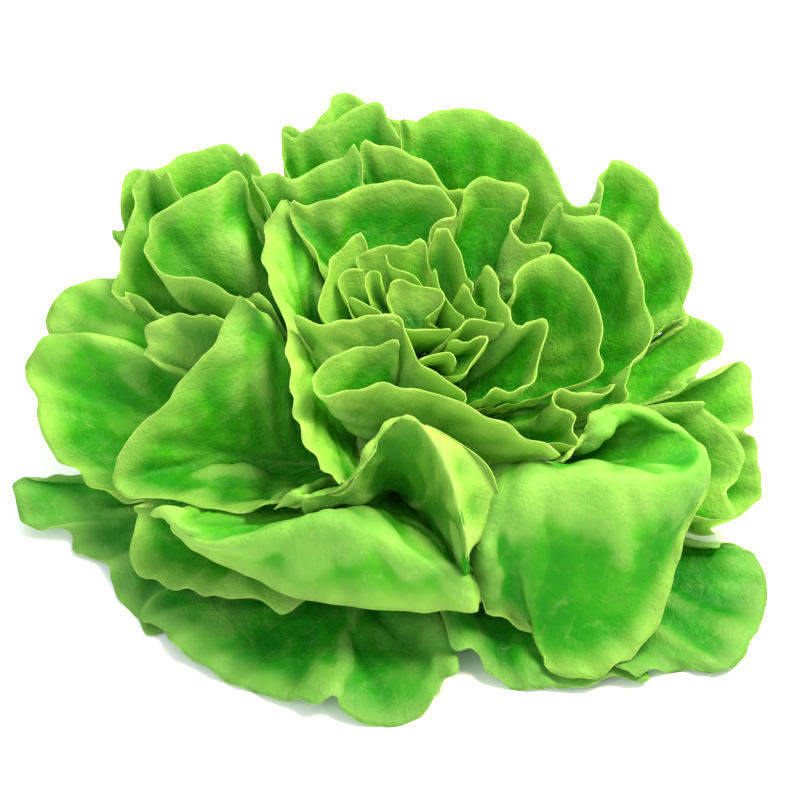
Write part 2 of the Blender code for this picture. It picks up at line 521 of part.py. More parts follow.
def cells_of(grid):
    """A blade in cells of azimuth and distance: its samples' cells, and elevation, lean and hold by cell."""
    fine = refined(grid, SAMPLES_ACROSS, SAMPLES_ALONG)
    turn, reach, rise = polar(fine)
    normal = np.cross(np.gradient(fine, axis=0), np.gradient(fine, axis=1))
    normal /= np.maximum(np.linalg.norm(normal, axis=-1, keepdims=True), 1e-9)
    upward = np.stack((-np.sin(rise) * np.cos(turn), -np.sin(rise) * np.sin(turn), np.cos(rise)), axis=-1)
    flatness = np.abs((normal * upward).sum(axis=-1)).clip(LEAST_LEAN, 1)
    row = ((turn / (2 * math.pi)) % 1 * TURN_CELLS).astype(int) % TURN_CELLS
    column = (reach / REACH_STEP).astype(int).clip(0, REACH_CELLS - 1)
    where = row * REACH_CELLS + column
    cell = where.ravel()
    lift, used = cell_means(cell, rise)
    lift[~used] = np.nan
    lean = np.where(used, cell_means(cell, flatness)[0], 1.0)
    part = cell_means(cell, np.broadcast_to(np.linspace(0, 1, fine.shape[1]), fine.shape[:2]))[0]
    fade = np.clip((part - RIM_HOLD_FROM) / (RIM_HOLD_TO - RIM_HOLD_FROM), 0, 1)
    return where, lift, lean, 1 - (1 - RIM_HOLD) * fade


def layer_order(lift, reach):
    """1 where the second blade of a pair lies over the first, -1 where under, 0 where they never meet."""
    count = len(lift)
    over = np.zeros((count, count))
    for a in range(count):
        for b in range(a + 1, count):
            both = ~np.isnan(lift[a]) & ~np.isnan(lift[b])
            gap = ((lift[b] - lift[a])[both] * reach[both]).clip(-ORDER_GAP_MOST, ORDER_GAP_MOST)
            over[a, b] = (gap * (reach[both] / ORDER_REACH) ** 2).sum() + 1e-3 * both.any()
    over -= over.T
    line = list(range(count))
    # each blade moves to the place in the line that most pairs agree with
    for sweep in range(ORDER_SWEEPS):
        for mover in range(count):
            line.remove(mover)
            gain = [0.0]
            for other in line:
                gain.append(gain[-1] + over[other, mover] - over[mover, other])
            line.insert(int(np.argmax(gain)), mover)
    place = np.argsort(line)
    return np.sign(place[None, :] - place[:, None]) * (over != 0)


def pushes(order, lift, lean, hold, reach):
    """How far each blade's elevation has to move in each cell, radians, and the largest shortfall, mm."""
    push = np.zeros_like(lift)
    worst = 0.0
    for a, b in zip(*np.nonzero(np.triu(order))):
        both = np.nonzero(~np.isnan(lift[a]) & ~np.isnan(lift[b]))[0]
        if not len(both):
            continue
        need = LAYER_STEP / (reach[both] * np.minimum(lean[a, both], lean[b, both]))
        short = np.maximum(0, need - order[a, b] * (lift[b, both] - lift[a, both]))
        share = hold[a, both] / (hold[a, both] + hold[b, both])
        push[a, both] -= order[a, b] * short * share
        push[b, both] += order[a, b] * short * (1 - share)
        worst = max(worst, float((short * reach[both]).max()))
    return push, worst


def shifted(grid, shift):
    """The grid with its elevations moved by the samples' shifts, its root on the stem, all over the table."""
    for axis, steps in ((0, SAMPLES_ACROSS), (1, SAMPLES_ALONG)):
        kernel = np.concatenate((np.arange(1.0, steps + 1), np.arange(steps - 1.0, 0, -1)))
        kernel /= kernel.sum()
        shift = np.apply_along_axis(
            lambda line: np.convolve(np.pad(line, steps - 1, "edge"), kernel, "valid"), axis, shift)
    turn, away, rise = polar(grid)
    rise = rise + STACK_SHARE * shift[::SAMPLES_ACROSS, ::SAMPLES_ALONG]
    level = away * np.cos(rise)
    grid = np.stack((level * np.cos(turn), level * np.sin(turn), STEM_FOOT[2] + away * np.sin(rise)), axis=-1)
    half = 0.5 * thickness_at(grid.shape[0] - 1, grid.shape[1] - 1)
    grid[..., 2] = np.maximum(grid[..., 2], half + TABLE_GAP)
    level = np.hypot(grid[..., 0], grid[..., 1])
    keep = np.interp(grid[..., 2], *zip(*STEM_PROFILE)) + ROOT_GAP + 0.5 * ROOT_THICKNESS
    keep[grid[..., 2] > STEM_PROFILE[-1][0]] = 0
    keep[:, 1:] = np.minimum(keep[:, 1:] + STEM_CLEAR, np.maximum(level[:, 1:], keep[:, 1:]))
    new_level = np.maximum(level, keep)
    new_level[:, 0] = keep[:, 0]
    grid[..., :2] *= (new_level / np.maximum(level, 1e-6))[..., None]
    return grid


def stack_leaves(grids):
    """Puts the blades in order: at each azimuth and distance from the stem's foot one lies over the other."""
    reach = np.tile((np.arange(REACH_CELLS) + 0.5) * REACH_STEP, TURN_CELLS)
    order = None
    for step in range(STACK_PASSES):
        where, lift, lean, hold = zip(*(cells_of(grid) for grid in grids.values()))
        lift = np.array(lift)
        if order is None:
            order = layer_order(lift, reach)
        push, worst = pushes(order, lift, np.array(lean), np.array(hold), reach)
        for name, cell, own_push in zip(list(grids), where, push):
            grids[name] = shifted(grids[name], own_push[cell].clip(-STACK_MOST, STACK_MOST))
    print(f"leaves stacked, largest shortfall {worst:.1f} mm")
    return grids, order


def add_object(name, points, faces, green, roughness=LEAF_ROUGHNESS):
    mesh = bpy.data.meshes.new(name)
    mesh.from_pydata([tuple(p * MM) for p in np.asarray(points)], [], faces)
    mesh.validate()
    material = bpy.data.materials.new(name + "_material")
    material.use_nodes = True
    surface = material.node_tree.nodes["Principled BSDF"]
    surface.inputs["Base Color"].default_value = (*GREENS[green], 1)
    surface.inputs["Roughness"].default_value = roughness
    surface.inputs["Metallic"].default_value = 0.0
    mesh.materials.append(material)
    for face in mesh.polygons:
        face.use_smooth = True
    item = bpy.data.objects.new(name, mesh)
    bpy.context.scene.collection.objects.link(item)
    return item


def revolved(profile, sides, axis):
    """A closed solid turned round a vertical axis, from (height, radius) pairs."""
    points, faces = [], []
    for height, radius in profile:
        for k in range(sides):
            points.append(axis + radius * heading(360.0 * k / sides) + np.array((0, 0, height)))
    for ring in range(len(profile) - 1):
        for k in range(sides):
            a, b = ring * sides + k, ring * sides + (k + 1) % sides
            faces.append((a, b, b + sides, a + sides))
    faces.append(tuple(range(sides))[::-1])
    faces.append(tuple(range((len(profile) - 1) * sides, len(profile) * sides)))
    return points, faces


def keep_largest(mesh):
    """Leaves only the largest closed surface of a mesh: sealed hollows fill up and loose scraps go."""
    shape = bmesh.new()
    shape.from_mesh(mesh)
    left, groups = set(shape.faces), []
    while left:
        group, ahead = set(), [left.pop()]
        while ahead:
            face = ahead.pop()
            group.add(face)
            for edge in face.edges:
                if len(edge.link_faces) == 2:
                    near = set(edge.link_faces) & left
                    left -= near
                    ahead += near
        groups.append(group)
    groups.sort(key=lambda group: sum(face.calc_area() for face in group))
    bmesh.ops.delete(shape, geom=[face for group in groups[:-1] for face in group], context="FACES")
    loose = [point for point in shape.verts if not point.link_faces]
    bmesh.ops.delete(shape, geom=loose, context="VERTS")
    shape.to_mesh(mesh)
    shape.free()


def tree_of(solid):
    points, faces = solid
    whole_faces = [tuple(int(k) for k in face) for face in faces]
    return BVHTree.FromPolygons([Vector(point) for point in points], whole_faces)


def with_boolean(item, operation, solid=None, collection=None):
    """Joins a collection to an object, or cuts a solid out of it, and keeps the object's main body."""
    change = item.modifiers.new("change", "BOOLEAN")
    change.operation = operation
    change.solver = "MANIFOLD"
    if collection:
        change.operand_type = "COLLECTION"
        change.collection = collection
    else:
        change.object = solid
    changed = bpy.data.meshes.new_from_object(item.evaluated_get(bpy.context.evaluated_depsgraph_get()))
    item.modifiers.clear()
    item.data = changed
    keep_largest(item.data)


def notch(item, cutter):
    """Cuts a solid out of an object."""
    solid = add_object("cutter", *cutter, "low")
    solid.hide_render = True
    solid.display_type = "WIRE"
    with_boolean(item, "DIFFERENCE", solid=solid)
    bpy.data.objects.remove(solid, do_unlink=True)


def build_stem():
    points, faces = revolved(STEM_PROFILE, STEM_SIDES, np.zeros(3))
    add_object("stem", points, faces, "stem", STEM_ROUGHNESS)


def build_leaves():
    """The large leaves, stacked, with small notches where a neighbour would still touch."""
    grids, order = stack_leaves({name: blade(leaf, *leaf["size"]) for name, leaf in LEAVES.items()})
    names = list(grids)
    solids = {name: blade_solid(grid) for name, grid in grids.items()}
    wide = {name: blade_solid(grid, TRIM_GAP) for name, grid in grids.items()}
    items = {name: add_object(name, *solids[name], LEAVES[name]["green"]) for name in names}
    own_trees = {name: tree_of(solids[name]) for name in names}
    wide_trees = {name: tree_of(wide[name]) for name in names}
    wide_profile = [(height, radius + TRIM_GAP) for height, radius in STEM_PROFILE]
    shaft = revolved(wide_profile, STEM_SIDES, np.zeros(3))
    shaft_tree = tree_of(shaft)
    count = 0
    for a, first in enumerate(names):
        if own_trees[first].overlap(shaft_tree):
            notch(items[first], shaft)
            count += 1
        for b in range(a + 1, len(names)):
            under, over = (first, names[b]) if order[a, b] >= 0 else (names[b], first)
            if own_trees[under].overlap(wide_trees[over]):
                notch(items[under], wide[over])
                count += 1
    print(f"{count} notches")
    return wide, wide_trees


def build_heart(wide, wide_trees):
    """The small leaves and their core, joined to one solid and notched clear of the large leaves."""
    heart = add_object("heart", *revolved(HEART_CORE, HEART_SIDES, HEART_AXIS), "heart")
    parts = bpy.data.collections.new("heart_leaves")
    for number, leaf in enumerate(HEART):
        solid = blade_solid(blade(leaf, *HEART_GRID, HEART_AXIS, HEART_ROOT_RADIUS))
        item = add_object(f"heart_leaf_{number}", *solid, "heart")
        bpy.context.scene.collection.objects.unlink(item)
        parts.objects.link(item)
    with_boolean(heart, "UNION", collection=parts)
    for item in list(parts.objects):
        bpy.data.objects.remove(item, do_unlink=True)
    bpy.data.collections.remove(parts)
    points = [point.co / MM for point in heart.data.vertices]
    own_tree = tree_of((points, [face.vertices for face in heart.data.polygons]))
    for name, tree in wide_trees.items():
        if own_tree.overlap(tree):
            notch(heart, wide[name])


clear_scene()
build_stem()
build_heart(*build_leaves())
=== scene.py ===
# Butterhead lettuce: fine leaves with veins, blisters and thin waved rims in the places of the packed
# solids, leaf and stem materials, a pale floor, soft light and the camera.
import math

import bpy
import numpy as np
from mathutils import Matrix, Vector


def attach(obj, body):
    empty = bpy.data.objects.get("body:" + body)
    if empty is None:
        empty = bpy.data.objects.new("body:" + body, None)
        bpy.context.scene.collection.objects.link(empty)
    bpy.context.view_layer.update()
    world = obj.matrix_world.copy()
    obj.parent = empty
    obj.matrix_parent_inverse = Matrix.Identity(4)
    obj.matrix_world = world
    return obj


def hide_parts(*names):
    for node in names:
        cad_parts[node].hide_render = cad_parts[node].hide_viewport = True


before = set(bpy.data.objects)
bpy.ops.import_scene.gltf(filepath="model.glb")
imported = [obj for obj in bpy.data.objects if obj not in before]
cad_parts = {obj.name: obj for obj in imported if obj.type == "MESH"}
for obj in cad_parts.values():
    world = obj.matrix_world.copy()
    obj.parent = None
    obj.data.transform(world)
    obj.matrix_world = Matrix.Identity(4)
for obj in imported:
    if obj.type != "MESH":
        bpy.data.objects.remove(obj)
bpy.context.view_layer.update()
print("frame loaded:", len(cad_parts), "nodes")

mm = 0.001

# the eye that the rim picks were read from; the camera stands there too
eyeView = {
    "tilt": math.radians(40),      # down from the level
    "distance": 1000.0,            # mm to the middle of the head
    "focal": 2600.0,               # picture points
    "middle": 400.0,               # picture points, across and down
    "picture": 800,                # picture points from side to side
    "sensor": 36.0,                # mm, the camera's width of film
    "target": np.array((2.0, 0.0, 45.0)),
}

stemShape = {
    "profile": ((0.0, 14.5), (1.2, 15.5), (12.0, 16.0), (28.0, 15.0), (44.0, 12.5), (55.0, 9.5), (57.0, 7.0)),
    "foot": np.array((0.0, 0.0, 4.0)),
}

# how every blade grows from the stem to its rim, mm
bladeShape = {
    "rimThickness": 0.95, "rootThickness": 2.1, "sideShare": 0.35, "midribPower": 1.5,
    "rootGap": 0.5, "rootDish": 1.5, "rootFan": 1.25,
    "shoulderOut": 7.0, "shoulderUp": 1.5, "shoulderTurn": 1.6,
    "rimSamples": 241, "spanSamples": 12, "waveReach": 11, "wavePower": 2.2,
    "crestShare": 0.75, "crestDraw": 0.85,
}

# how the blades are laid over one another, by cells of azimuth and distance from the stem's foot
stacking = {
    "turns": 100, "reaches": 44, "reachStep": 4.0,      # cells round, cells outwards and how many mm one is
    "across": 4, "along": 7,                            # samples in one step of a blade's grid
    "step": 2.5, "passes": 90, "share": 0.6,            # mm between blades, rounds, part of a push in each
    "most": 0.25, "leastLean": 0.35,                    # radians in a round; steeper blades count as this
    "rimHold": 0.25, "holdFrom": 0.5, "holdTo": 0.9,    # how firmly a rim keeps its place, a root being 1
    "sweeps": 6, "gapMost": 8.0, "orderReach": 100.0,   # for telling which of two blades lies on top
    "tableGap": 0.15, "stemClear": 1.0, "blur": 0,      # mm, mm, and rounds of smoothing a push
}
# the same for the fine blades, which only have to part where their waves meet
fineStacking = dict(
    stacking, turns=220, reaches=110, reachStep=1.6, across=2, along=2, step=1.5, passes=12, blur=6)

# what the fine blades have that the solids don't
leafDetail = {
    "columns": 2.12,               # mm between grid columns along the rim
    "columnRange": (40, 150),      # fewest and most
    "rows": 2.5,                   # mm between grid rows
    "rowRange": (20, 60),
    "finer": 4,                    # how many times closer the rim is sampled
    "rimThickness": 0.35,          # mm at the very rim
    "rimFade": 5.0,                # mm over which a blade thins to its rim
    "rootSides": 12.0,             # mm by which a blade's sides count as farther from the rim near its root
    "ruffle": 1.6,                 # mm, small waves of the rim
    "ruffleLength": 17.0,          # mm from one small wave to the next
    "ruffleReach": 10.0,           # mm over which they die out inwards
    "ruffleDrift": (5.0, 30.0),    # radians that the waves slip along the rim, and mm over which
    "ruffleChange": (0.45, 40.0),  # how much their height comes and goes, and mm over which
    "nibble": (0.8, 7.0),          # mm, uneven line of the rim, and its length
    "swell": 1.5,                  # mm, soft swells of a whole blade
    "swellSize": 27.0,             # mm
    "blister": 0.75,               # mm, puffed skin between veins
    "blisterSize": 11.0,           # mm
    "blisterRise": 0.4,            # how much more the skin puffs up than down
    "smallBlister": (0.5, 0.45),   # height and size of the small ones, as parts of the large ones'
    "quilt": 1.1,                  # mm, how far the skin stands up between side veins
    "quiltWidth": 4.5,             # mm from a vein to where it stands full
    "calmRim": {"blister": 10.0, "swell": 14.0, "quilt": 8.0},    # mm from the rim to their full height
    # how fast they begin on the way from the root to the rim, and the height they begin with
    "calmRoot": {"blister": (3.0, 0.0), "swell": (2.0, 0.0), "quilt": (2.5, -0.2)},
    "veinDepth": 0.4,              # mm, grooves of the side veins
    "midribDepth": 1.0,            # mm
    "veinShares": (0.7, 0.8),      # how strongly the midrib and the side veins are coloured
    "fanCells": 5.0,               # small veins fan out from the root: how many lie side by side,
    "fanStart": 14.0,              # mm before the root where their fan begins,
    "fanSpread": 0.5,              # how fast it widens,
    "fanShift": 0.37,              # how far it moves from one leaf to the next,
    "fanLength": 12.0,             # and mm from one fork to the next
    "foldReach": 16,               # rounds of averaging that tell ridges and hollows apart
    "foldFull": 0.9,               # mm, a ridge this high counts in full
    "calming": 2,                  # rounds of averaging of directions and ridges
    "tableGap": 0.05,              # mm, least height over the table
}

# midrib and side veins; across a blade, -1 and 1 are its two sides, and along it 0 is the root and 1 the rim
veinShape = {
    "ends": (-0.93, -0.7, -0.48, -0.27, -0.11, 0.14, 0.3, 0.52, 0.74, 0.95),    # of side veins, across
    "firstFork": 0.62, "forkPower": 0.9,           # how far along the midrib the innermost ones leave it
    "forkScatter": 0.05, "endScatter": 0.04,
    "sweep": 0.85, "wobble": 0.015, "wobbles": 17,  # curve of a side vein, and its small bends
    "width": (0.5, 0.9), "strength": (1.1, 0.75),  # mm at the rim and added at the root; at the root and lost
    "midribWidth": (0.5, 1.9), "midribPower": 1.5, "midribStrength": 1.25,
    "seamStart": 8,                                # how quickly the seam beside a side vein begins
}

# small leaves of the heart round its own upright axis
heartShape = {
    "axis": np.array((6.0, 7.0, 0.0)), "rootRadius": 7.5, "rise": (72, 84), "fan": 30,
    "columns": 44, "rows": 24,
    "detail": 0.6,                 # height of its small leaves' waves and swells, a large leaf's being 1
}
leafSeeds, heartSeeds, seedStep = 0, 5000, 100     # each leaf draws its own waves, swells and veins

# Large leaves, from the outermost and lowest to the innermost.
# root: azimuth (degrees), height on the stem (mm), half width of the root (degrees)
# rise: slope where the blade leaves the stem and where it meets its rim (degrees)
# fan: sideways spread at the rim (degrees); size: steps of the solid's grid, across and along
# rim and crest: picks (across, down, height in mm) on the eye's picture, 800 points wide; rimMm: places in mm
# lean: slope at the crest (degrees); belly: how much more than usual a blade swells before it climbs
leafShapes = {
    "front_low_leaf": dict(
        root=(-112, 7, 18), rise=(2, -4), fan=50, size=(13, 4), green="low",
        rim=((175, 587, 7), (155, 595, 6), (140, 612, 4), (143, 624, 2), (163, 632, 4), (172, 646, 5),
             (205, 668, 3), (250, 691, 1), (290, 700, 4), (318, 703, 8), (335, 696, 9), (342, 712, 5),
             (365, 726, 1), (392, 727, 0), (418, 718, 1), (434, 700, 4), (440, 678, 8), (457, 655, 12))),
    "front_right_low_leaf": dict(
        root=(-62, 8, 16), rise=(3, -3), fan=45, size=(10, 4), green="low",
        rim=((448, 640, 14), (470, 655, 9), (484, 660, 7), (493, 680, 3), (518, 691, 0), (545, 687, 2),
             (575, 688, 3), (610, 676, 6), (640, 660, 4))),
    "right_low_leaf": dict(
        root=(-30, 9, 18), rise=(3, -3), fan=45, size=(11, 4), green="low",
        rim=((610, 655, 10), (650, 674, 3), (685, 672, 0), (720, 673, 3), (742, 659, 3), (749, 640, 5),
             (762, 625, 1), (767, 600, 3), (765, 575, 7), (752, 552, 11), (722, 543, 14), (690, 540, 16))),
    "left_low_leaf": dict(
        root=(197, 9, 19), rise=(4, 0), fan=45, size=(13, 4), green="low",
        rim=((100, 474, 15), (50, 477, 14), (14, 481, 12), (15, 498, 9), (24, 524, 5), (45, 528, 6),
             (71, 531, 5), (76, 553, 1), (98, 557, 3), (110, 568, 4), (111, 581, 2), (119, 600, 0),
             (137, 617, 1), (170, 625, 3))),
    "back_low_leaf": dict(
        root=(80, 10, 19), rise=(4, 4), fan=50, size=(11, 4), green="low",
        rimMm=((62, 70, 26), (66, 95, 14), (52, 112, 5), (34, 118, 9), (14, 128, 3), (-8, 124, 10),
                (-28, 126, 4), (-48, 114, 9), (-62, 96, 16), (-58, 72, 28))),
    "back_left_low_leaf": dict(
        root=(140, 13, 18), rise=(6, 8), fan=48, size=(10, 4), green="low",
        rimMm=((-34, 92, 40), (-54, 104, 26), (-76, 102, 14), (-94, 88, 22), (-110, 76, 13),
                (-118, 58, 24), (-112, 38, 34))),
    "back_right_low_leaf": dict(
        root=(38, 13, 18), rise=(6, 8), fan=48, size=(10, 4), green="low",
        rimMm=((110, 14, 30), (124, 34, 14), (118, 56, 22), (106, 74, 12), (88, 90, 22), (66, 96, 32),
                (48, 88, 42))),
    "back_outer_leaf": dict(
        root=(86, 15, 18), rise=(12, 42), fan=45, size=(11, 4), green="outer",
        rimMm=((46, 66, 60), (54, 86, 56), (48, 101, 52), (30, 108, 60), (10, 116, 52), (-14, 112, 62),
                (-34, 104, 54), (-46, 86, 60), (-42, 66, 62))),
    "back_left_outer_leaf": dict(
        root=(126, 16, 18), rise=(12, 40), fan=45, size=(11, 4), green="outer",
        rimMm=((-30, 84, 60), (-50, 97, 58), (-70, 96, 49), (-86, 84, 56), (-98, 68, 46), (-100, 48, 54),
                (-88, 32, 54))),
    "back_right_outer_leaf": dict(
        root=(46, 16, 18), rise=(12, 40), fan=45, size=(11, 4), green="outer",
        rimMm=((92, 26, 54), (104, 42, 46), (102, 62, 54), (90, 80, 46), (72, 92, 56), (50, 96, 56),
                (36, 86, 60))),
    "left_outer_leaf": dict(
        root=(180, 15, 18), rise=(8, 24), fan=45, size=(11, 5), green="outer",
        rim=((130, 350, 52), (95, 342, 56), (60, 340, 58), (38, 344, 57), (26, 364, 50), (28, 383, 46),
             (36, 398, 42), (38, 420, 36), (50, 450, 27), (78, 474, 22), (110, 495, 19), (140, 502, 20),
             (170, 492, 30))),
    "right_outer_leaf": dict(
        root=(-14, 15, 18), rise=(8, 20), fan=45, size=(11, 5), green="outer",
        rim=((690, 530, 20), (712, 530, 18), (738, 514, 18), (762, 497, 20), (759, 462, 29),
             (754, 436, 36), (744, 431, 40), (753, 418, 40), (754, 392, 45), (744, 363, 52),
             (718, 370, 52), (675, 388, 50))),
    "back_left_leaf": dict(
        root=(133, 22, 18), rise=(22, 66), fan=45, size=(11, 5), green="outer",
        rim=((262, 176, 98), (242, 156, 103), (222, 143, 106), (195, 151, 104), (168, 162, 102),
             (150, 172, 100), (136, 169, 100), (124, 178, 98), (120, 200, 93), (124, 228, 86),
             (128, 250, 78))),
    "left_upper_leaf": dict(
        root=(160, 18, 18), rise=(14, 16), fan=42, size=(10, 4), green="outer",
        rim=((150, 268, 66), (122, 274, 72), (92, 279, 74), (66, 290, 71), (50, 310, 66), (50, 332, 60),
             (64, 344, 55), (96, 352, 48))),
    "right_back_leaf": dict(
        root=(34, 23, 19), rise=(22, 64), fan=45, size=(11, 5), green="outer",
        rim=((664, 330, 60), (683, 306, 68), (693, 282, 74), (686, 244, 82), (662, 212, 88),
             (656, 186, 94), (636, 167, 98), (612, 161, 100), (600, 178, 99), (592, 214, 93))),
    "back_leaf": dict(
        root=(93, 21, 18), rise=(24, 70), fan=40, size=(10, 4), green="outer",
        rim=((450, 140, 96), (420, 122, 100), (392, 118, 104), (362, 100, 108), (345, 93, 110),
             (330, 98, 109), (326, 112, 106), (306, 132, 100), (284, 150, 94))),
    "back_right_leaf": dict(
        root=(64, 26, 20), rise=(26, 74), fan=45, size=(11, 5), green="outer",
        rim=((594, 222, 90), (574, 204, 96), (560, 186, 102), (553, 164, 107), (532, 138, 110),
             (508, 121, 112), (472, 109, 113), (434, 111, 112), (414, 126, 108), (398, 140, 104))),
    "right_small_leaf": dict(
        root=(8, 21, 14), rise=(18, 34), fan=30, size=(10, 4), green="outer",
        rim=((668, 396, 48), (686, 381, 51), (706, 363, 54), (724, 346, 57), (721, 332, 60),
             (700, 318, 63), (681, 313, 64), (670, 330, 60))),
    "left_folded_leaf": dict(
        root=(150, 26, 17), rise=(26, 76), fan=40, size=(10, 4), green="outer",
        rim=((186, 196, 100), (160, 176, 102), (142, 173, 102), (134, 190, 99), (131, 214, 94),
             (126, 242, 88), (117, 270, 82), (114, 290, 77), (126, 296, 75), (142, 300, 73))),
    "right_side_leaf": dict(
        root=(-4, 20, 17), rise=(14, 36), fan=40, size=(10, 4), green="outer",
        rim=((712, 520, 28), (728, 490, 34), (745, 462, 38), (738, 440, 43), (722, 422, 47),
             (704, 408, 50), (682, 402, 52))),
    "front_left_leaf": dict(
        root=(-128, 14, 17), rise=(6, -8), fan=40, size=(10, 4), green="outer",
        rim=((155, 496, 32), (140, 510, 28), (133, 530, 22), (130, 550, 17), (134, 570, 12),
             (160, 584, 10), (205, 594, 11), (255, 600, 14), (300, 606, 18))),
    "left_front_leaf": dict(
        root=(207, 22, 20), rise=(16, 30), fan=45, size=(13, 5), green="outer",
        rim=((250, 306, 86), (232, 312, 84), (214, 342, 78), (194, 368, 70), (178, 386, 64),
             (166, 403, 59), (142, 424, 52), (120, 454, 43), (111, 480, 35), (122, 497, 31),
             (146, 502, 30), (182, 508, 31), (214, 516, 33), (246, 512, 38), (268, 505, 44))),
    "left_small_leaf": dict(
        root=(168, 27, 15), rise=(28, 38), fan=34, size=(10, 4), green="outer",
        rim=((226, 322, 80), (206, 318, 77), (184, 313, 75), (160, 318, 72), (144, 328, 69),
             (150, 346, 62), (162, 362, 57))),
    "front_hanging_leaf": dict(
        root=(-105, 19, 20), rise=(16, -48), fan=55, size=(15, 6), green="outer", bend=0.72,
        crest=((196, 512, 37), (206, 536, 38), (232, 545, 42), (270, 534, 50), (320, 522, 57),
               (352, 525, 57), (380, 537, 53), (404, 552, 49), (432, 558, 46), (462, 560, 44)),
        rim=((163, 510, 34), (170, 524, 32), (182, 542, 32), (210, 557, 33), (248, 576, 32),
             (290, 597, 31), (330, 604, 31), (375, 610, 30), (410, 611, 30), (440, 610, 30),
             (478, 596, 32))),
    "front_right_leaf": dict(
        root=(-42, 21, 22), rise=(18, 0), fan=60, size=(18, 7), green="outer", bend=0.66,
        crest=((476, 545, 48), (492, 524, 54), (514, 500, 60), (545, 481, 65), (585, 477, 66),
               (625, 478, 64), (665, 475, 60), (692, 466, 56), (690, 448, 56), (672, 434, 57),
               (648, 424, 59), (622, 418, 62), (604, 424, 64), (586, 442, 64)),
        rim=((466, 560, 38), (470, 585, 29), (490, 612, 20), (520, 625, 14), (544, 646, 9), (550, 672, 5),
             (578, 684, 3), (606, 680, 4), (638, 657, 8), (662, 616, 16), (676, 570, 26), (686, 535, 35),
             (704, 496, 44), (709, 462, 51), (692, 443, 55), (664, 418, 60), (628, 406, 64),
             (602, 409, 66), (578, 438, 65), (556, 464, 60))),
    "left_cup_leaf": dict(
        root=(148, 31, 20), rise=(32, 84), fan=50, size=(16, 6), green="outer",
        rim=((262, 200, 99), (253, 180, 104), (238, 169, 107), (216, 184, 105), (186, 197, 103),
             (158, 211, 100), (147, 234, 95), (148, 256, 89), (158, 271, 84), (188, 277, 82),
             (216, 286, 83), (244, 299, 84), (268, 301, 86))),
    "back_middle_leaf": dict(
        root=(101, 30, 19), rise=(34, 80), fan=42, size=(11, 5), green="outer",
        rim=((402, 160, 104), (398, 140, 109), (388, 118, 114), (376, 101, 117), (352, 108, 116),
             (334, 124, 112), (310, 128, 110), (296, 139, 107), (283, 153, 103))),
    "right_pale_leaf": dict(
        root=(12, 30, 20), rise=(30, 78), fan=45, size=(15, 6), green="outer",
        rim=((613, 405, 62), (626, 384, 67), (631, 362, 72), (646, 350, 73), (653, 336, 76),
             (647, 306, 82), (639, 270, 89), (630, 240, 94), (612, 221, 98), (588, 218, 100),
             (565, 215, 101), (548, 217, 101))),
    "back_dark_leaf": dict(
        root=(118, 36, 18), rise=(42, 84), fan=36, size=(10, 4), green="outer",
        rim=((360, 160, 106), (342, 157, 107), (318, 166, 105), (294, 180, 103), (272, 175, 104),
             (254, 178, 103), (256, 196, 98))),
    "back_inner_leaf": dict(
        root=(88, 35, 19), rise=(42, 84), fan=38, size=(10, 4), green="ring",
        rim=((462, 208, 94), (446, 188, 99), (428, 165, 105), (405, 151, 108), (380, 147, 108),
             (360, 158, 106))),
    "front_cup_leaf": dict(
        root=(-88, 26, 22), rise=(8, 30), fan=50, size=(17, 8), green="ring", bend=0.74, lean=100, belly=1.8,
        crest=((300, 496, 54), (330, 486, 60), (356, 472, 66), (374, 446, 71), (390, 428, 76),
               (410, 424, 78), (428, 440, 77), (444, 468, 73), (455, 498, 67), (461, 528, 59),
               (465, 556, 50)),
        rim=((278, 505, 48), (292, 506, 50), (312, 494, 56), (344, 485, 61), (364, 468, 67),
             (380, 438, 74), (396, 421, 79), (420, 424, 80), (448, 436, 76), (474, 453, 71),
             (494, 478, 65), (503, 510, 57), (494, 534, 50), (478, 552, 45))),
    "right_curl_leaf": dict(
        root=(-22, 33, 14), rise=(40, 80), fan=36, size=(10, 4), green="ring",
        rim=((566, 448, 62), (575, 432, 65), (576, 415, 68), (560, 408, 71), (556, 396, 73),
             (562, 387, 74), (580, 394, 72), (598, 395, 70), (606, 384, 70))),
    "left_ring_leaf": dict(
        root=(192, 35, 20), rise=(42, 38), fan=48, size=(13, 5), green="ring",
        rim=((292, 212, 94), (268, 220, 93), (263, 248, 90), (268, 284, 86), (284, 316, 84),
             (287, 350, 80), (291, 392, 74), (300, 432, 69), (318, 463, 64), (342, 487, 60))),
    "back_ring_leaf": dict(
        root=(100, 41, 20), rise=(52, 88), fan=40, size=(11, 5), green="ring",
        rim=((432, 233, 92), (456, 212, 97), (450, 195, 101), (424, 184, 103), (395, 181, 104),
             (362, 187, 103), (334, 199, 101), (312, 206, 98), (292, 213, 96))),
    "back_twisted_leaf": dict(
        root=(52, 40, 18), rise=(50, 86), fan=36, size=(11, 5), green="ring",
        rim=((548, 254, 90), (526, 245, 92), (512, 232, 95), (520, 210, 99), (530, 195, 102),
             (508, 182, 103), (484, 177, 104), (468, 190, 101), (459, 206, 97))),
    "right_tulip_leaf": dict(
        root=(2, 36, 19), rise=(44, 86), fan=40, size=(11, 5), green="ring",
        rim=((590, 380, 70), (599, 350, 77), (602, 322, 83), (594, 296, 90), (580, 272, 95),
             (560, 258, 98), (545, 254, 99), (526, 264, 97), (512, 280, 94), (508, 300, 90))),
    "front_ring_leaf": dict(
        root=(-82, 37, 30), rise=(26, 86), fan=48, size=(19, 6), green="ring", belly=1.3,
        rim=((400, 348, 84), (376, 344, 85), (352, 348, 85), (332, 356, 84), (318, 370, 82),
             (311, 382, 80), (318, 393, 80), (336, 395, 81), (358, 388, 83), (384, 385, 84),
             (412, 389, 84), (448, 399, 82), (484, 414, 79), (520, 434, 75), (556, 454, 69))),
    "right_inner_leaf": dict(
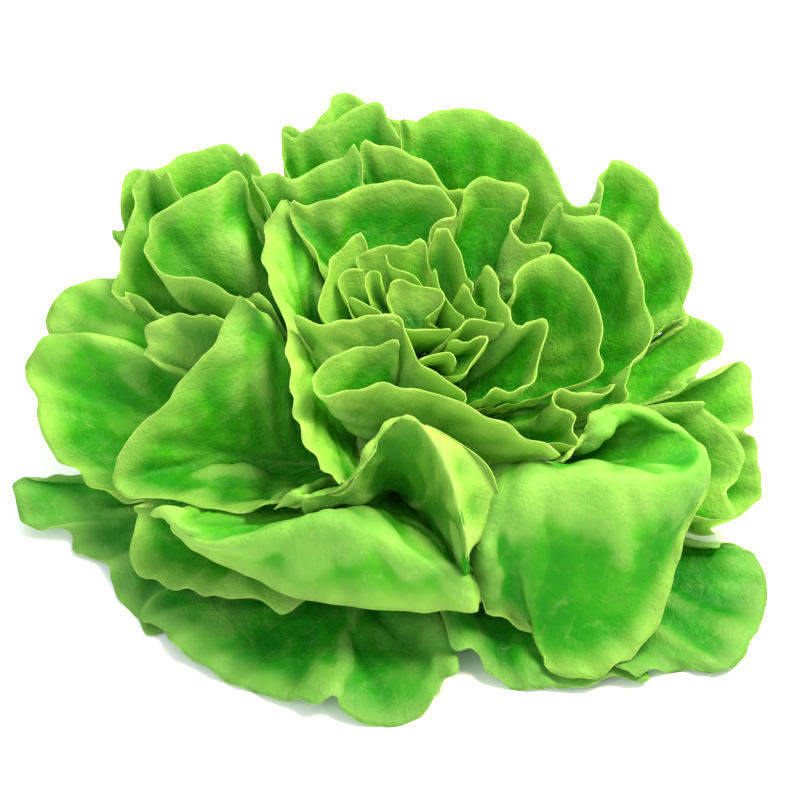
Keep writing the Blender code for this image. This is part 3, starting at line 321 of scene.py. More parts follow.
        root=(-20, 42, 19), rise=(56, 74), fan=44, size=(11, 5), green="ring",
        rim=((480, 398, 76), (502, 389, 79), (522, 390, 79), (536, 371, 81), (546, 344, 85),
             (550, 326, 88), (543, 316, 90), (531, 323, 90), (520, 328, 89), (510, 314, 91),
             (499, 292, 93), (484, 269, 94))),
    "front_inner_leaf": dict(
        root=(-112, 43, 20), rise=(58, 84), fan=46, size=(11, 5), green="ring",
        rim=((293, 322, 86), (318, 324, 88), (345, 321, 89), (368, 316, 90), (388, 315, 90),
             (401, 320, 89), (407, 333, 88), (410, 347, 86), (420, 361, 83), (441, 379, 80),
             (464, 400, 76))),
}

# Small leaves of the heart, fused round their core; the root is measured round the heart's own axis.
heartShapes = (
    dict(root=(35, 62, 40),
         rim=((471, 292, 89), (468, 278, 91), (463, 262, 94), (457, 245, 97), (448, 230, 99), (440, 230, 98),
              (432, 238, 96))),
    dict(root=(100, 62, 45),
         rim=((426, 246, 94), (406, 246, 95), (388, 246, 95), (367, 249, 94), (359, 256, 92),
              (357, 266, 89))),
    dict(root=(165, 62, 42),
         rim=((364, 240, 95), (356, 236, 96), (344, 244, 95), (333, 259, 92), (327, 274, 91), (323, 292, 88),
              (322, 320, 83))),
    dict(root=(190, 66, 40),
         rim=((358, 278, 88), (366, 270, 92), (350, 269, 92), (340, 276, 90), (339, 286, 88), (346, 300, 86),
              (356, 320, 82))),
    dict(root=(150, 72, 36),
         rim=((382, 288, 90), (380, 272, 94), (370, 270, 94), (366, 280, 92), (370, 300, 87))),
    dict(root=(80, 72, 42),
         rim=((422, 284, 91), (411, 274, 93), (396, 267, 94), (389, 262, 94), (385, 255, 95))),
    dict(root=(10, 70, 38),
         rim=((464, 322, 85), (458, 313, 87), (451, 303, 89), (443, 291, 91), (436, 280, 93),
              (434, 272, 94))),
    dict(root=(-5, 64, 30),
         rim=((484, 314, 86), (477, 303, 89), (470, 294, 91), (467, 288, 92), (460, 289, 92))),
    dict(root=(-60, 71, 40),
         rim=((424, 320, 86), (432, 311, 88), (441, 303, 90), (441, 293, 91), (428, 287, 92), (411, 282, 93),
              (394, 281, 93), (388, 292, 90))),
    dict(root=(-130, 66, 34),
         rim=((384, 316, 85), (370, 306, 87), (360, 301, 88), (349, 302, 86))),
    dict(root=(-95, 66, 42),
         rim=((386, 322, 87), (404, 328, 87), (423, 330, 87), (437, 330, 87), (452, 332, 86))),
    dict(root=(-35, 63, 38),
         rim=((452, 334, 86), (466, 321, 89), (477, 317, 89), (489, 320, 88), (503, 330, 86))),
    dict(root=(-50, 60, 36),
         rim=((450, 340, 85), (463, 341, 86), (476, 337, 87), (488, 337, 87), (486, 348, 85), (470, 362, 82),
              (458, 376, 79))),
    dict(root=(-78, 60, 30),
         rim=((417, 361, 82), (428, 356, 84), (440, 353, 85), (452, 353, 85), (455, 366, 81))),
)


# geometry of the blades

def sightPoint(across, down, height):
    ahead = np.array((0.0, math.cos(eyeView["tilt"]), -math.sin(eyeView["tilt"])))
    up = np.array((0.0, math.sin(eyeView["tilt"]), math.cos(eyeView["tilt"])))
    right = np.array((1.0, 0.0, 0.0))
    eye = eyeView["target"] - eyeView["distance"] * ahead
    ray = ahead * eyeView["focal"] + right * (across - eyeView["middle"]) + up * (eyeView["middle"] - down)
    return eye + ray * (height - eye[2]) / ray[2]


def spread(points, count):
    points = np.asarray(points, float)
    ends = np.vstack((2 * points[0] - points[1], points, 2 * points[-1] - points[-2]))
    dense = []
    for k in range(len(points) - 1):
        a, b, c, d = ends[k:k + 4]
        for u in np.linspace(0, 1, bladeShape["spanSamples"], endpoint=False):
            square = (2 * a - 5 * b + 4 * c - d) * u ** 2
            cube = (3 * b - a - 3 * c + d) * u ** 3
            dense.append(0.5 * (2 * b + (c - a) * u + square + cube))
    dense = np.array(dense + [points[-1]])
    run = np.concatenate(((0.0,), np.cumsum(np.linalg.norm(np.diff(dense, axis=0), axis=1))))
    at = np.linspace(0, run[-1], count)
    return np.column_stack([np.interp(at, run, dense[:, k]) for k in range(3)])


def smoothed(curve, reach):
    steps = np.arange(-3 * reach, 3 * reach + 1)
    weight = np.exp(-0.5 * (steps / reach) ** 2)
    weight /= weight.sum()
    before = 2 * curve[0] - curve[3 * reach:0:-1]
    after = 2 * curve[-1] - curve[-2:-3 * reach - 2:-1]
    padded = np.vstack((before, curve, after))
    return np.column_stack([np.convolve(padded[:, k], weight, "valid") for k in range(3)])


def stemRadius(height):
    heights, radii = zip(*stemShape["profile"])
    return float(np.interp(height, heights, radii))


def heading(degrees):
    angle = np.radians(degrees)
    return np.stack([np.cos(angle), np.sin(angle), np.zeros_like(angle)], axis=-1)


def rising(degrees, slope):
    return heading(degrees) * math.cos(slope) + np.array((0, 0, math.sin(slope)))


def hermite(a, b, slopeA, slopeB, t):
    return ((2 * t ** 3 - 3 * t ** 2 + 1) * a + (t ** 3 - 2 * t ** 2 + t) * slopeA
            + (3 * t ** 2 - 2 * t ** 3) * b + (t ** 3 - t ** 2) * slopeB)


def curvesOf(leaf, axis):
    azimuth = leaf["root"][0]
    rim = leaf["rimMm"] if "rimMm" in leaf else [sightPoint(*pick) for pick in leaf["rim"]]
    rim = np.array(rim, float)
    crest = np.array([sightPoint(*pick) for pick in leaf["crest"]]) if "crest" in leaf else None
    ends = [math.degrees(math.atan2(point[1] - axis[1], point[0] - axis[0])) for point in (rim[0], rim[-1])]
    turns = [(end - azimuth + 180) % 360 - 180 for end in ends]
    if turns[0] > turns[1]:
        rim = rim[::-1]
        crest = crest[::-1] if crest is not None else None
    return rim, crest


# middle surface of a leaf, (columns + 1) x (rows + 1) points; with finer its rim is sampled that much closer
def blade(leaf, columns, rows, axis=np.zeros(3), rootRadius=None, finer=1):
    shape = bladeShape
    azimuth, height, half = leaf["root"]
    rim, crest = curvesOf(leaf, axis)
    radius = rootRadius or stemRadius(height) + shape["rootGap"] + shape["rootThickness"] * 0.5
    side = np.linspace(-1, 1, columns + 1)
    base = axis + radius * heading(azimuth + half * side)
    base[:, 2] = height + shape["rootDish"] * side ** 2
    shoulderOut = shape["shoulderOut"] * heading(azimuth + shape["shoulderTurn"] * half * side[[0, -1]])
    shoulders = base[[0, -1]] + shoulderOut + np.array((0, 0, shape["shoulderUp"]))
    samples = (shape["rimSamples"] - 1) * finer + 1
    fine = spread(np.vstack((shoulders[0], rim, shoulders[1])), samples)
    at = np.linspace(0, samples - 1, columns + 1).round().astype(int)
    edge = fine[at]
    calm = smoothed(fine, shape["waveReach"] * finer)[at]
    low, high = (math.radians(angle) for angle in leaf.get("rise", heartShape["rise"]))
    out = rising(azimuth + shape["rootFan"] * half * side, low)
    end = rising(azimuth + leaf.get("fan", heartShape["fan"]) * side, high)
    belly = leaf.get("belly", 1.0)
    grid = np.empty((columns + 1, rows + 1, 3))
    if crest is None:
        reach = np.linalg.norm(calm - base, axis=1)[:, None]
        for j, t in enumerate(np.linspace(0, 1, rows + 1)):
            wave = (edge - calm) * t ** shape["wavePower"]
            grid[:, j] = hermite(base, calm, out * reach * belly, end * reach, t) + wave
        return grid
    bend = leaf["bend"]
    first, last = base[[0, -1]] * (1 - shape["crestShare"]) + edge[[0, -1]] * shape["crestShare"]
    ridge = spread(np.vstack((first, crest, last)), samples)[at]
    over = (edge - base) * shape["crestDraw"]
    if "lean" in leaf:
        lean = rising(azimuth + leaf["fan"] * side, math.radians(leaf["lean"]))
        over = lean * np.linalg.norm(over, axis=1)[:, None]
    before = np.linalg.norm(ridge - base, axis=1)[:, None]
    after = np.linalg.norm(edge - ridge, axis=1)[:, None]
    for j, t in enumerate(np.linspace(0, 1, rows + 1)):
        if t <= bend:
            grid[:, j] = hermite(base, ridge, out * before * belly, over * bend * belly, t / bend)
        else:
            grid[:, j] = hermite(ridge, edge, over * (1 - bend), end * after, (t - bend) / (1 - bend))
    return grid


def unit(vectors):
    return vectors / np.maximum(np.linalg.norm(vectors, axis=-1, keepdims=True), 1e-9)


def averaged(values, passes):
    for turn in range(passes):
        for axis in (0, 1):
            wide = np.pad(values, [(1, 1) if k == axis else (0, 0) for k in range(values.ndim)], "edge")
            before = np.take(wide, range(values.shape[axis]), axis)
            after = np.take(wide, range(2, wide.shape[axis]), axis)
            values = 0.25 * before + 0.5 * values + 0.25 * after
    return values


def gridNormals(grid, calming):
    normals = unit(np.cross(np.gradient(grid, axis=1), np.gradient(grid, axis=0)))
    return unit(averaged(normals, calming))


# fleshy at the root and along the midrib, thin at the rim
def thicknessAt(columns, rows):
    shape = bladeShape
    across = 1 - np.abs(np.linspace(-1, 1, columns + 1))[:, None]
    along = 1 - np.linspace(0, 1, rows + 1)[None, :]
    share = along ** 2 * (shape["sideShare"] + (1 - shape["sideShare"]) * across ** shape["midribPower"])
    return shape["rimThickness"] + (shape["rootThickness"] - shape["rimThickness"]) * share


# laying the blades over one another

def polar(points):
    away = points - stemShape["foot"]
    level = np.hypot(away[..., 0], away[..., 1])
    turn = np.arctan2(away[..., 1], away[..., 0])
    return turn, np.linalg.norm(away, axis=-1), np.arctan2(away[..., 2], level)


def refined(grid, across, along):
    for axis, steps in ((0, across), (1, along)):
        count = (grid.shape[axis] - 1) * steps
        at = np.arange(count + 1) / steps
        low = np.minimum(at.astype(int), grid.shape[axis] - 2)
        part = (at - low).reshape((-1, 1, 1) if axis == 0 else (1, -1, 1))
        grid = np.take(grid, low, axis) * (1 - part) + np.take(grid, low + 1, axis) * part
    return grid


def cellMeans(cell, values, size):
    count = np.bincount(cell, minlength=size)
    return np.bincount(cell, values.ravel(), size) / np.maximum(count, 1), count > 0


def cellsOf(grid, plan):
    fine = refined(grid, plan["across"], plan["along"])
    turn, reach, rise = polar(fine)
    normal = unit(np.cross(np.gradient(fine, axis=0), np.gradient(fine, axis=1)))
    upward = np.stack((-np.sin(rise) * np.cos(turn), -np.sin(rise) * np.sin(turn), np.cos(rise)), axis=-1)
    flatness = np.abs((normal * upward).sum(axis=-1)).clip(plan["leastLean"], 1)
    row = ((turn / (2 * math.pi)) % 1 * plan["turns"]).astype(int) % plan["turns"]
    column = (reach / plan["reachStep"]).astype(int).clip(0, plan["reaches"] - 1)
    where = row * plan["reaches"] + column
    cell, size = where.ravel(), plan["turns"] * plan["reaches"]
    lift, used = cellMeans(cell, rise, size)
    lift[~used] = np.nan
    lean = np.where(used, cellMeans(cell, flatness, size)[0], 1.0)
    part = cellMeans(cell, np.broadcast_to(np.linspace(0, 1, fine.shape[1]), fine.shape[:2]), size)[0]
    fade = np.clip((part - plan["holdFrom"]) / (plan["holdTo"] - plan["holdFrom"]), 0, 1)
    return where, lift, lean, 1 - (1 - plan["rimHold"]) * fade


# 1 where the second blade of a pair lies over the first, -1 where under, 0 where they never meet
def layerOrder(lift, reach, plan):
    count = len(lift)
    over = np.zeros((count, count))
    for a in range(count):
        for b in range(a + 1, count):
            both = ~np.isnan(lift[a]) & ~np.isnan(lift[b])
            gap = ((lift[b] - lift[a])[both] * reach[both]).clip(-plan["gapMost"], plan["gapMost"])
            over[a, b] = (gap * (reach[both] / plan["orderReach"]) ** 2).sum() + 1e-3 * both.any()
    over -= over.T
    line = list(range(count))
    for sweep in range(plan["sweeps"]):
        for mover in range(count):
            line.remove(mover)
            gain = [0.0]
            for other in line:
                gain.append(gain[-1] + over[other, mover] - over[mover, other])
            line.insert(int(np.argmax(gain)), mover)
    place = np.argsort(line)
    return np.sign(place[None, :] - place[:, None]) * (over != 0)


def pushes(order, lift, lean, hold, reach, plan):
    push = np.zeros_like(lift)
    worst = 0.0
    for a, b in zip(*np.nonzero(np.triu(order))):
        both = np.nonzero(~np.isnan(lift[a]) & ~np.isnan(lift[b]))[0]
        if not len(both):
            continue
        need = plan["step"] / (reach[both] * np.minimum(lean[a, both], lean[b, both]))
        short = np.maximum(0, need - order[a, b] * (lift[b, both] - lift[a, both]))
        share = hold[a, both] / (hold[a, both] + hold[b, both])
        push[a, both] -= order[a, b] * short * share
        push[b, both] += order[a, b] * short * (1 - share)
        worst = max(worst, float((short * reach[both]).max()))
    return push, worst


def shifted(grid, shift, plan):
    shape = bladeShape
    for axis, steps in ((0, plan["across"]), (1, plan["along"])):
        kernel = np.concatenate((np.arange(1.0, steps + 1), np.arange(steps - 1.0, 0, -1)))
        kernel /= kernel.sum()
        shift = np.apply_along_axis(
            lambda line: np.convolve(np.pad(line, steps - 1, "edge"), kernel, "valid"), axis, shift)
    shift = averaged(shift[::plan["across"], ::plan["along"]], plan["blur"])
    turn, away, rise = polar(grid)
    rise = rise + plan["share"] * shift
    level = away * np.cos(rise)
    height = stemShape["foot"][2] + away * np.sin(rise)
    grid = np.stack((level * np.cos(turn), level * np.sin(turn), height), axis=-1)
    half = 0.5 * thicknessAt(grid.shape[0] - 1, grid.shape[1] - 1)
    grid[..., 2] = np.maximum(grid[..., 2], half + plan["tableGap"])
    level = np.hypot(grid[..., 0], grid[..., 1])
    keep = np.interp(grid[..., 2], *zip(*stemShape["profile"]))
    keep = keep + shape["rootGap"] + 0.5 * shape["rootThickness"]
    keep[grid[..., 2] > stemShape["profile"][-1][0]] = 0
    keep[:, 1:] = np.minimum(keep[:, 1:] + plan["stemClear"], np.maximum(level[:, 1:], keep[:, 1:]))
    newLevel = np.maximum(level, keep)
    newLevel[:, 0] = keep[:, 0]
    grid[..., :2] *= (newLevel / np.maximum(level, 1e-6))[..., None]
    return grid


def stackLeaves(grids, plan, order=None):
    grids = dict(grids)
    reach = np.tile((np.arange(plan["reaches"]) + 0.5) * plan["reachStep"], plan["turns"])
    for step in range(plan["passes"]):
        where, lift, lean, hold = zip(*(cellsOf(grid, plan) for grid in grids.values()))
        lift = np.array(lift)
        if order is None:
            order = layerOrder(lift, reach, plan)
        push, worst = pushes(order, lift, np.array(lean), np.array(hold), reach, plan)
        for name, cell, ownPush in zip(list(grids), where, push):
            grids[name] = shifted(grids[name], ownPush[cell].clip(-plan["most"], plan["most"]), plan)
    print(f"blades stacked, largest shortfall {worst:.1f} mm")
    return grids, order


# fine detail

# a grid of values read at more columns and rows, with smooth curves between them
def widened(values, columns, rows):
    for axis, count in ((0, columns + 1), (1, rows + 1)):
        last = values.shape[axis] - 1
        at = np.linspace(0, last, count)
        low = np.minimum(at.astype(int), last - 1)
        u = (at - low).reshape((-1, 1, 1) if axis == 0 else (1, -1, 1))
        a, b, c, d = (np.take(values, np.clip(low + k, 0, last), axis) for k in (-1, 0, 1, 2))
        values = 0.5 * (2 * b + (c - a) * u + (2 * a - 5 * b + 4 * c - d) * u ** 2
                        + (3 * b - a - 3 * c + d) * u ** 3)
    return values


# smooth noise between -1 and 1 over places in mm
def softNoise(x, y, size, seed):
    cells = 64
    lattice = np.random.default_rng(seed).uniform(-1, 1, (cells, cells))
    u, v = x / size, y / size
    i, j = np.floor(u).astype(int), np.floor(v).astype(int)
    u, v = u - i, v - j
    u, v = u * u * (3 - 2 * u), v * v * (3 - 2 * v)
    corner = [lattice[(i + a) % cells, (j + b) % cells] for a, b in ((0, 0), (1, 0), (0, 1), (1, 1))]
    return (corner[0] * (1 - u) + corner[1] * u) * (1 - v) + (corner[2] * (1 - u) + corner[3] * u) * v


# places on a blade in mm (across from the midrib, along from the root, back from the rim)
def bladePlaces(grid):
    acrossStep = np.linalg.norm(np.diff(grid, axis=0), axis=2)
    across = np.vstack((np.zeros((1, grid.shape[1])), np.cumsum(acrossStep, axis=0)))
    across -= 0.5 * across[-1]
    alongStep = np.linalg.norm(np.diff(grid, axis=1), axis=2)
    along = np.hstack((np.zeros((grid.shape[0], 1)), np.cumsum(alongStep, axis=1)))
    toRim = along[:, -1:] - along
    side = across[-1] - np.abs(across)
    nearRoot = (1 - np.linspace(0, 1, grid.shape[1])) ** 0.5
    return across, along, np.minimum(toRim, side + leafDetail["rootSides"] * nearRoot)


# strength of the veins, 0 to 1: a midrib and side veins that leave it and run out to the rim, and the seams
# along them, where the skin lies down
def veinsOf(grid, across, seed):
    shape = veinShape
    draw = np.random.default_rng(seed)
    part = np.linspace(0, 1, grid.shape[1])[None, :]
    width = np.maximum(across[-1] - across[0], 1.0)[None, :] * 0.5
    place = across / width
    midribWidth = shape["midribWidth"][0] + shape["midribWidth"][1] * (1 - part) ** shape["midribPower"]
    midrib = np.exp(-(across / midribWidth) ** 2) * np.clip(shape["midribStrength"] - part, 0, 1)
    sideVeins, seams = np.zeros_like(across), np.exp(-(across / leafDetail["quiltWidth"]) ** 2)
    for end in shape["ends"]:
        leaves = shape["firstFork"] * (1 - abs(end)) ** shape["forkPower"]
        leaves = leaves + shape["forkScatter"] * draw.uniform(-1, 1)
        run = np.clip((part - leaves) / (1 - leaves), 0, 1)
        line = (end + shape["endScatter"] * draw.uniform(-1, 1)) * run ** shape["sweep"]
        line = line + shape["wobble"] * np.sin(part * shape["wobbles"] + 6 * draw.uniform())
        thick = shape["width"][0] + shape["width"][1] * (1 - part)
        away = (place - line) * width
        fade = shape["strength"][0] - shape["strength"][1] * part
        sideVeins = np.maximum(sideVeins, np.exp(-(away / thick) ** 2) * (part > leaves) * fade)
        begun = np.clip((part - leaves) * shape["seamStart"], 0, 1)
        seams = np.maximum(seams, np.exp(-(away / leafDetail["quiltWidth"]) ** 2) * begun)
    return midrib, np.clip(sideVeins, 0, 1), seams


# the grid with its waves, swells and veins, and what each point of it is for the leaf material
def detailed(grid, seed, strength=1.0):
    detail = leafDetail
    across, along, back = bladePlaces(grid)
    midrib, sideVeins, seams = veinsOf(grid, across, seed)
    normal = gridNormals(grid, detail["calming"])
    part = np.linspace(0, 1, grid.shape[1])[None, :]
    draw = np.random.default_rng(seed + 50)
    full = {}
    for name, (slope, start) in detail["calmRoot"].items():
        full[name] = np.clip(back / detail["calmRim"][name], 0, 1) * np.clip(part * slope + start, 0, 1)
    rimRun = np.broadcast_to(across[:, -1:], across.shape)
    slip, slipLength = detail["ruffleDrift"]
    phase = 2 * math.pi * rimRun / detail["ruffleLength"]
    phase = phase + slip * softNoise(rimRun, 0 * rimRun, slipLength, seed + 1) + 6 * draw.uniform()
    change, changeLength = detail["ruffleChange"]
    ruffle = np.sin(phase) * (1 - change + change * softNoise(rimRun, 0 * rimRun, changeLength, seed + 2))
    ruffle = ruffle * np.exp(-back / detail["ruffleReach"]) * part ** 2
    smallHeight, smallSize = detail["smallBlister"]
    puff = softNoise(across, along, detail["blisterSize"], seed + 3)
    puff = puff + smallHeight * softNoise(across, along, detail["blisterSize"] * smallSize, seed + 4)
    puff = (puff + detail["blisterRise"]) * (1 - sideVeins) * full["blister"]
    swell = softNoise(across, along, detail["swellSize"], seed + 7) * full["swell"]
    quilt = (1 - seams) * full["quilt"]
    lift = detail["ruffle"] * ruffle + detail["blister"] * puff + detail["swell"] * swell
    lift = lift + detail["quilt"] * quilt - detail["veinDepth"] * sideVeins
    lift = lift - detail["midribDepth"] * midrib * (1 - part) ** 0.5
    grid = grid + normal * (strength * lift)[..., None]
    outward = unit(grid[:, -1] - grid[:, -2])
    nibble, nibbleLength = detail["nibble"]
    jag = nibble * softNoise(rimRun[:, 0], 0 * rimRun[:, 0], nibbleLength, seed + 5)
    grid[:, -1] += outward * jag[:, None]
    # ridges and hollows of the blade; the leaf material paints highlight on the ridges and shade in the
    # hollows from them
    ridge = (grid - averaged(grid, detail["foldReach"])) * normal
    ridge = averaged(ridge.sum(axis=-1), detail["calming"]) / detail["foldFull"]
    midribShare, sideShare = detail["veinShares"]
    fanWidth = detail["fanSpread"] * along + detail["fanStart"]
    marks = {
        "fromRoot": np.broadcast_to(part, across.shape),
        "veinStrength": np.maximum(midribShare * midrib, sideShare * sideVeins),
        "rimDistance": back,
        "ridge": ridge.clip(-1, 1),
        "fanAcross": detail["fanCells"] * across / fanWidth + detail["fanShift"] * seed,
        "fanAlong": along / detail["fanLength"],
    }
    return grid, marks


# closed blade of quads: upper points, lower points, and what each point is for the leaf material
def bladeMesh(grid, marks):
    detail = leafDetail
    columns, rows = grid.shape[0] - 1, grid.shape[1] - 1
    thick = thicknessAt(columns, rows)
    rimShare = np.clip(marks["rimDistance"] / detail["rimFade"], 0, 1)
    thick = detail["rimThickness"] + (thick - detail["rimThickness"]) * rimShare
    half = 0.5 * thick[..., None] * gridNormals(grid, detail["calming"])
    points = np.vstack(((grid + half).reshape(-1, 3), (grid - half).reshape(-1, 3)))
    points[:, 2] = np.maximum(points[:, 2], detail["tableGap"])
    number = np.arange((columns + 1) * (rows + 1)).reshape(columns + 1, rows + 1)
    a, b, c, d = number[:-1, :-1], number[:-1, 1:], number[1:, 1:], number[1:, :-1]
    upper = np.stack((a, b, c, d), axis=-1).reshape(-1, 4)
    border = np.concatenate((number[:-1, 0], number[-1, :-1], number[:0:-1, -1], number[0, :0:-1]))
    follow = np.roll(border, -1)
    total = number.size
    ring = np.stack((border, follow, follow + total, border + total), axis=-1)
    faces = np.vstack((upper, upper[:, ::-1] + total, ring))
    marks = {name: np.tile(values.ravel(), 2) for name, values in marks.items()}
    marks["ridge"][total:] *= -1       # a ridge above is a hollow below
    marks["underside"] = np.repeat((0.0, 1.0), total)
    return points, faces, marks


# one object of one or more blades; their marks become attributes of its points
def addPiece(name, parts, material):
    points, faces, marks, start = [], [], {}, 0
    for onePoints, oneFaces, oneMarks in parts:
        points.append(onePoints)
        faces.append(oneFaces + start)
        start += len(onePoints)
        for mark, values in oneMarks.items():
            marks.setdefault(mark, []).append(values)
    points, faces = np.vstack(points) * mm, np.vstack(faces)
    mesh = bpy.data.meshes.new(name)
    mesh.from_pydata(points.tolist(), [], faces.tolist())
    for mark, values in marks.items():
        attribute = mesh.attributes.new(mark, "FLOAT", "POINT")
        attribute.data.foreach_set("value", np.concatenate(values).astype(np.float32))
    mesh.polygons.foreach_set("use_smooth", np.ones(len(mesh.polygons), bool))
    mesh.materials.append(material)
    mesh.update()
    piece = bpy.data.objects.new(name, mesh)
    bpy.context.scene.collection.objects.link(piece)
    return piece


# materials

def linearColour(hexCode):
    parts = [int(hexCode[k:k + 2], 16) / 255 for k in (1, 3, 5)]
    return (*[c / 12.92 if c <= 0.04045 else ((c + 0.055) / 1.055) ** 2.4 for c in parts], 1)


def addNode(tree, kind, settings=None, links=None):
    node = tree.nodes.new(kind)
    for key, value in (settings or {}).items():
        if isinstance(key, int) or key in node.inputs:
            node.inputs[key].default_value = value
        else:
            setattr(node, key, value)
    for key, socket in (links or {}).items():
        tree.links.new(socket, node.inputs[key])
    return node


def mixed(tree, share, first, second):
    node = addNode(tree, "ShaderNodeMix", {"data_type": "RGBA"})
    for number, value in ((0, share), (6, first), (7, second)):
        if isinstance(value, bpy.types.NodeSocket):
            tree.links.new(value, node.inputs[number])
        else:
            node.inputs[number].default_value = value
    return node.outputs[2]


# value from low to high, turned softly into a share from first to last
def ramp(tree, value, low, high, first=0.0, last=1.0):
    limits = {"interpolation_type": "SMOOTHSTEP", 1: low, 2: high, 3: first, 4: last}
    return addNode(tree, "ShaderNodeMapRange", limits, {0: value}).outputs[0]


def product(tree, first, second):
    return addNode(tree, "ShaderNodeMath", {"operation": "MULTIPLY"}, {0: first, 1: second}).outputs[0]


# one value times a fixed factor, added to another
def added(tree, value, factor, onto):
    settings = {"operation": "MULTIPLY_ADD", 1: factor}
    return addNode(tree, "ShaderNodeMath", settings, {0: value, 2: onto}).outputs[0]


def noise(tree, place, size, detail, output="Fac"):
    settings = {"Scale": 1 / (size * mm), "Detail": detail}
    return addNode(tree, "ShaderNodeTexNoise", settings, {"Vector": place}).outputs[output]


def emptyMaterial(name):
    material = bpy.data.materials.new(name)
    material.use_nodes = True
    material.node_tree.nodes.clear()
    return material, material.node_tree


# fresh lettuce blade: thin, full of water, under a waxy skin. To the eye it is a saturated green that glows
# where light comes through, with soft broad highlights, paler veins and a thin pale rim. Painted into its
# colour are highlights in yellower green on the folds, shade in deep green in the hollows and in the gaps
# towards the root, and part of the rim's paleness as glow of light through the thin edge
# deep is dark green, and also the painted shade in hollows and gaps; ridge is a painted highlight on crests;
# rim, and light near the rim, are partly painted glow of light through the thin edge
leafGreens = {
    "low": dict(deep="#00760a", blade="#289c12", light="#9cc866",
                ridge="#aad46c", vein="#b0d880", rim="#c6de80", glow="#96dc34"),
    "outer": dict(deep="#008606", blade="#46b40e", light="#badc6c",
                  ridge="#c4e47e", vein="#c2e286", rim="#d6ea8c", glow="#b2ea40"),
    "ring": dict(deep="#008a04", blade="#56ba0c", light="#c6e26e",
                 ridge="#ceea88", vein="#cae88c", rim="#deee96", glow="#bcec40"),
    "heart": dict(deep="#007a04", blade="#52b20e", light="#bede64",
                  ridge="#c8e680", vein="#c6e486", rim="#daec8c", glow="#b4ec40"),
}
leafSkin = {
    "roughness": 0.5, "ior": 1.42, "sheen": 0.25,
    "rootColour": "#8cc24a",
    "glowShare": 0.36, "glowTint": 0.4,    # light let through, and how much of it takes the glow colour
    # size in mm and roughness of each pattern; blisters and grain are drawn as coarse as they show
    "patch": (26.0, 0.5), "mottle": (5.5, 5.0), "wander": (14.0, 3.0), "grain": (1.3, 2.0), "blister": 3.6,
    "bump": (0.5, 0.8), "blisterBump": -0.8, "veinBump": -0.25,    # strength and mm; against the grain's
    "smallVein": (0.0, 0.05, 1.0, 0.0),    # distance from a small vein, as the shares below
    "veinWander": 1.3,                     # how far the small veins stray from their fan
    # rimLine: thin pale line at the rim, partly its own colour and partly painted glow of light through the
    # thin edge
    "rimLine": (0.1, 0.7, 1.0, 0.0),       # mm from the rim
}
# where a colour lies on the blade: value from and to, and how much of the colour at each
leafShares = {
    "blade": (0.3, 0.6, 0.4, 1.0),         # by patch, over the deep green
    "patch": (0.5, 0.74, 0.0, 0.3),
    "mottle": (0.44, 0.7, 0.0, 0.12),
    "underside": (0.0, 1.0, 0.0, 0.4),
    "root": (0.0, 0.12, 0.5, 0.0),         # part of the way to the rim
    # hollow and ridge: painted shade in deep green in hollows, painted highlight in the ridge colour on
    # crests
    "hollowPaintedShade": (-0.9, 0.1, 0.6, 0.0),
    "ridge": (0.1, 1.0, 0.0, 0.3),
    "vein": (0.3, 1.0, 0.0, 0.3),
    "smallVein": (0.4, 0.7, 0.0, 0.15),    # by mottle, so that they come and go
    # paleRim and rimLine: paler towards the rim, partly its own colour and partly painted glow of light
    # through the thin edge
    "paleRim": (0.0, 15.0, 0.5, 0.0),      # mm from the rim
    "rimLine": (0.4, 0.68, 0.05, 0.45),    # by mottle
}
# painted shade: deep green where the leaves go into the gaps between them, by part of the way to the rim
gapPaintedShade = {
    "low": (0.1, 0.7, 0.5, 0.0), "outer": (0.2, 0.8, 0.8, 0.0), "ring": (0.3, 0.85, 0.95, 0.0),
    "heart": (0.35, 0.88, 1.0, 0.0),
}
leafMarks = ("fromRoot", "veinStrength", "rimDistance", "ridge", "underside", "fanAcross", "fanAlong")


